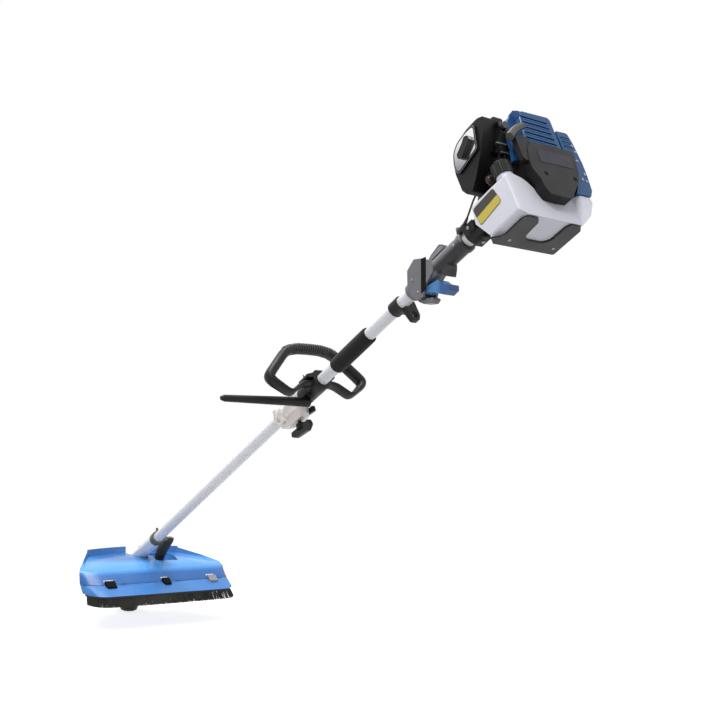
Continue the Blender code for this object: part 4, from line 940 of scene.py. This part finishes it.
def loop_ribs():
    """The rings round the top of the loop, where the hand holds it."""
    top = [(-62, 77), (-52, 82), (-30, 87), (0, 88), (30, 87), (52, 82), (62, 76.5)]
    path = bpy.data.meshes.new("path")
    points = [TOOL @ Vector((x, LOOP_STATION, z)) for x, z in top]
    path.from_pydata(points, [(i, i + 1) for i in range(len(points) - 1)], [])
    tube = TOOL.to_3x3() @ Vector(DOWN_TUBE)
    values = {
        "Tube": tube.normalized(), "Finish": RIB_GREY, "Spacing": 0.006, "Half height": 0.0104,
        "Half width": 0.0138, "Thickness": 0.0013,
    }
    piece("loop_grip_rings", through_tree(path, ring_tree(), values), RIB_GREY, "power_unit")


def screw_head():
    """A domed head with a cross recess, one millimetre in radius, its foot at the origin."""
    dome = [(-0.4, 1.0), (0.35, 1.0), (0.62, 0.8), (0.75, 0.45), (0.78, 0)]
    head = turned(dome, (0, 0, 0), UP, Matrix(), 20)
    one = slab(oblong(-0.55, -0.12, 0.55, 0.12), 0.45, 1.2, "z", Matrix())
    two = slab(oblong(-0.12, -0.55, 0.12, 0.55), 0.45, 1.2, "z", Matrix())
    return less(head, one, two)


def screw_tree(head):
    """A screw head on every point, along the point's aim, with its own size and a random twist."""
    tree, given = node_tree("screws", [
        ("Size", "NodeSocketFloat", 1.0), ("Seed", "NodeSocketInt", SEED),
        ("Finish", "NodeSocketMaterial", None),
    ])
    points = add(tree, "GeometryNodeMeshToPoints", links={"Mesh": given["Geometry"]})
    aim = add(tree, "GeometryNodeInputNamedAttribute", {"Name": "aim"}, data_type="FLOAT_VECTOR")
    radius = add(tree, "GeometryNodeInputNamedAttribute", {"Name": "radius_m"}, data_type="FLOAT")
    turn = add(tree, "FunctionNodeAlignRotationToVector", links={"Vector": aim.outputs[0]}, axis="Z")
    size = add(tree, "ShaderNodeMath", links={0: radius.outputs[0], 1: given["Size"]}, operation="MULTIPLY")
    shape = add(tree, "GeometryNodeObjectInfo", {"Object": head})
    placed = add(
        tree, "GeometryNodeInstanceOnPoints",
        links={"Points": points.outputs[0], "Instance": shape.outputs["Geometry"],
               "Rotation": turn.outputs[0], "Scale": size.outputs[0]})
    twist = add(
        tree, "FunctionNodeRandomValue", {2: 0.0, 3: 3.1}, {"Seed": given["Seed"]}, data_type="FLOAT")
    spin = add(tree, "ShaderNodeCombineXYZ", links={2: twist.outputs[1]})
    spins = {"Instances": placed.outputs[0], "Rotation": spin.outputs[0]}
    spun = add(tree, "GeometryNodeRotateInstances", links=spins)
    close_tree(tree, spun.outputs[0], given["Finish"])
    return tree


# Each screw: its seat in the tube's frame, the way it faces and its head's radius in millimetres.
SCREWS = {
    "power_unit": [
        ((102.8, -1600, 68), (0, -1, 0), 2.6), ((105, -1600, 54.6), (0, -1, 0), 2.6),
        ((97, -1600, 32.5), (0, -1, 0), 2.6), ((101.3, -1600, 2.8), (0, -1, 0), 2.6),
        ((88.6, -1600, -11), (0, -1, 0), 2.6), ((98.4, -1600, -13.5), (0, -1, 0), 2.6),
        ((20, -1560, 125), (0, 0.05, 1), 3.4), ((58, -1548, 126), (0, 0.05, 1), 3.4),
        ((106.5, -1566, 60), (1, 0, 0), 3.0), ((108.5, -1566, 10), (1, 0, 0), 3.0),
        ((34, -1488, 34), (0, 1, 0), 3.2), ((-34, -1488, 34), (0, 1, 0), 3.2),
        ((34, -1488, -34), (0, 1, 0), 3.2), ((-34, -1488, -34), (0, 1, 0), 3.2),
        ((34, -1165, 0), (1, 0, 0), 3.0), ((-26, -1418, 0), (-1, 0, 0), 3.4),
        ((0, -1418, -27), (0, 0, -1), 3.4),
        ((11, -728, -22), (1, 0, 0), 2.6), ((-11, -728, -22), (-1, 0, 0), 2.6),
        ((-18.9, -1366, 0), (-1, 0, 0), 2.4), ((-18.6, -1240, 10), (-1, 0, 0), 2.4),
        ((-18.6, -1244, -20), (-1, 0, 0), 2.4), ((-70, -1524, -112.3), (0, 0, -1), 2.8),
        ((36, -1524, -112.3), (0, 0, -1), 2.8),
    ],
    "attachment": [
        ((26, -37, -1), (1, 0, 0), 3.0), ((12, -37, -1), (-1, 0, 0), 3.0),
    ],
}


def screws():
    """One piece of screw heads for each body that has them."""
    head = placed_in_scene("screw_head", screw_head())
    tree = screw_tree(head)
    for body, places in SCREWS.items():
        mesh = bpy.data.meshes.new("places")
        mesh.from_pydata([TOOL @ Vector(at) for at, _, _ in places], [], [])
        mesh.attributes.new("aim", "FLOAT_VECTOR", "POINT")
        mesh.attributes.new("radius_m", "FLOAT", "POINT")
        for i, (_, aim, radius) in enumerate(places):
            mesh.attributes["aim"].data[i].vector = (TOOL.to_3x3() @ Vector(aim)).normalized()
            mesh.attributes["radius_m"].data[i].value = radius * MM
        made = through_tree(mesh, tree, {"Size": 1.0, "Seed": SEED, "Finish": FINISHES["steel"]})
        piece(body + "_screws", made, FINISHES["steel"], body)
    bpy.data.objects.remove(head)


def foam_pieces():
    """The two padded pieces: the sleeve on the tube and the filter's block."""
    profile = [
        (0.4, 14.2), (0.8, 15.8), (2.2, 17.0), (5, 17.6), (16, 17.75), (64, 17.9), (112, 17.75),
        (123, 17.6), (125.8, 17.0), (127.2, 15.8), (127.6, 14.2),
    ]
    grip = turned(profile, (0, -1064, 0), DOWN_TUBE, sides=40)
    hole = turned([(-10, 13.3), (140, 13.3)], (0, -1064, 0), DOWN_TUBE, sides=32)
    sleeve = piece(
        "foam_grip_sleeve", less(grip, hole), FINISHES["foam_rubber"], "power_unit",
        ["foam_grip"])
    outline = [(-1502, 50), (-1508, 70), (-1524, 87), (-1547, 91), (-1572, 88), (-1556, 54)]
    block = slab(rounded(outline, 6, 5), -90, -73.5, edge=2.5, steps=3)
    core = turned([(-30, 5.5), (30, 5.5)], (-80, *FILTER_SCREW), ACROSS)
    filling = piece(
        "air_filter_foam", less(block, core), FINISHES["foam_rubber"], "power_unit",
        ["air_filter_element"])


BUILT_HERE = {
    "guard_brush", "foam_grip", "air_filter_element", "air_filter_cover", "filter_knob", "tank_stand",
    "fuel_cap", "loop_handle",
}
# The guard's right clip takes the pale grey as a painted reflection.
OWN_FINISH = {
    "handle_left": HANDLE_GREY_PAINTED_SHADE, "handle_right": HANDLE_GREY_PAINTED_SHADE, "choke_lever": GLOSS_BLACK,
    "lockout_lever": PALE_GREY, "carburettor": CARB_PAINTED_SHADE, "guard_shell": guard_painted_light_finish(),
    "guard_skirt": SKIRT_BLUE, "guard_clamp": WORN_STEEL, "gearhead_housing": BRIGHT_CAST,
    "coupling_body": PALE_CAST, "guard_clip_left": DEEP_BLACK, "guard_clip_middle": DEEP_BLACK,
    "guard_clip_right": PALE_GREY, "throttle_trigger": trigger_painted_shade_finish(),
}
# Widths of the rounded edges, in millimetres: fine on turned and small parts, broad on soft mouldings.
EDGE = 0.8
FINE_EDGE = 0.3
FINE = {
    "crankshaft", "output_shaft", "drive_shaft_upper", "drive_shaft_lower", "loop_bolt_left",
    "loop_bolt_right",
}
BROAD = {
    "guard_shell": 1.2, "fuel_tank": 1.8, "recoil_cover": 1.5, "engine_cover": 0.9, "muffler_cover": 1.2,
}
for node in sorted(set(NODES) - BUILT_HERE):
    softened(node, FINE_EDGE if node in FINE else BROAD.get(node, EDGE), OWN_FINISH.get(node))
air_filter()
engine_covers()
starter_trim()
tank_patch()
tank_stand()
handle_trim()
fluted_cap()
loop_handle()
guard_recess()
guard_seam()
brush()
loop_ribs()
screws()
foam_pieces()

# Studio: white paper and air, three soft lamps, and the camera at the photograph's place.
CAMERA_AT = (-1.31486, -1.55978, -0.17843)
CAMERA_TURN = [math.radians(a) for a in (92.4054, -3.0159, -37.4448)]
CAMERA_LENS = 52.5
# Each lamp: its name, place in metres, width in metres and power in watts.
LAMPS = (
    ("key_lamp", (-2.4, -1.2, 2.6), 1.6, 60),
    ("fill_lamp", (2.4, -1.8, 0.6), 2.0, 8),
    ("top_lamp", (-0.2, 1.2, 3.0), 2.2, 110),
)
LAMPS_AIM = Vector((0, 0.3, -0.2))
# The paper fades from shadowed to plain white between two distances from a point on the floor, in metres.
PAPER_MIDDLE = (0.0, 1.0, 0.0)
PAPER_NEAR = 0.7
PAPER_FAR = 1.6
PAPER_GREY = 0.5
PAPER_LIFT = 0.8
# How strongly the air lights the tool. Seen directly it is plain white.
AIR_LIGHT = 0.42


def seen_directly(tree):
    """1 for rays from the camera, in reflections and through glass."""
    path = add(tree, "ShaderNodeLightPath")
    first = {0: path.outputs["Is Camera Ray"], 1: path.outputs["Is Glossy Ray"]}
    either = add(tree, "ShaderNodeMath", links=first, operation="MAXIMUM")
    second = {0: either.outputs[0], 1: path.outputs["Is Transmission Ray"]}
    return add(tree, "ShaderNodeMath", links=second, operation="MAXIMUM").outputs[0]


def studio_floor():
    """Matt paper that takes the shadow near the object, and fades to plain white further off."""
    bpy.ops.mesh.primitive_plane_add(size=60, location=(0, 0, CAD_BOX[0][2] - 0.001))
    floor = bpy.context.object
    floor.name = "studio_floor"
    paper = bpy.data.materials.new("white_studio_paper")
    paper.use_nodes = True
    tree = paper.node_tree
    tree.nodes.clear()
    matt = add(tree, "ShaderNodeBsdfDiffuse", {"Color": (PAPER_GREY, PAPER_GREY, PAPER_GREY, 1)})
    lift = add(tree, "ShaderNodeEmission")
    lift_share = add(tree, "ShaderNodeMath", {1: PAPER_LIFT}, {0: seen_directly(tree)}, operation="MULTIPLY")
    tree.links.new(lift_share.outputs[0], lift.inputs["Strength"])
    near = add(tree, "ShaderNodeAddShader", links={0: matt.outputs[0], 1: lift.outputs[0]})
    white = add(tree, "ShaderNodeEmission", {"Strength": 1.0})
    place = add(tree, "ShaderNodeTexCoord").outputs["Object"]
    shifted = add(tree, "ShaderNodeVectorMath", {1: PAPER_MIDDLE}, {0: place}, operation="SUBTRACT")
    far = add(tree, "ShaderNodeVectorMath", links={0: shifted.outputs[0]}, operation="LENGTH")
    fade = {"From Min": PAPER_NEAR, "From Max": PAPER_FAR}
    away = add(
        tree, "ShaderNodeMapRange", fade, {"Value": far.outputs["Value"]}, interpolation_type="SMOOTHSTEP")
    both_shares = {0: away.outputs[0], 1: seen_directly(tree)}
    share = add(tree, "ShaderNodeMath", links=both_shares, operation="MULTIPLY")
    mix = {0: share.outputs[0], 1: near.outputs[0], 2: white.outputs[0]}
    both = add(tree, "ShaderNodeMixShader", links=mix)
    add(tree, "ShaderNodeOutputMaterial", links={"Surface": both.outputs[0]})
    floor.data.materials.append(paper)


def studio_air():
    """Soft even light from all round, which looks plain white itself."""
    world = bpy.data.worlds.new("studio_air")
    bpy.context.scene.world = world
    world.use_nodes = True
    tree = world.node_tree
    tree.nodes.clear()
    soft = add(tree, "ShaderNodeBackground", {"Color": (1, 1, 1, 1), "Strength": AIR_LIGHT})
    white = add(tree, "ShaderNodeBackground", {"Color": (1, 1, 1, 1), "Strength": 1.0})
    mix = {0: seen_directly(tree), 1: soft.outputs[0], 2: white.outputs[0]}
    both = add(tree, "ShaderNodeMixShader", links=mix)
    add(tree, "ShaderNodeOutputWorld", links={"Surface": both.outputs[0]})


def studio_lamps():
    """The three lamps, aimed at the middle of the tool."""
    for name, at, size, watts in LAMPS:
        lamp = bpy.data.lights.new(name, "AREA")
        lamp.energy = watts
        lamp.size = size
        holder = placed_in_scene(name, lamp)
        holder.location = at
        holder.rotation_euler = (LAMPS_AIM - Vector(at)).to_track_quat("-Z", "Y").to_euler()


def photo_camera():
    """The camera at the place and with the lens that the photograph was matched to."""
    lens = bpy.data.cameras.new("photo_camera")
    lens.lens = CAMERA_LENS
    lens.sensor_width = 36
    lens.clip_end = 100
    camera = placed_in_scene("photo_camera", lens)
    camera.location = CAMERA_AT
    camera.rotation_euler = CAMERA_TURN
    bpy.context.scene.camera = camera


studio_floor()
studio_air()
studio_lamps()
photo_camera()
bpy.context.scene.view_settings.view_transform = "Standard"
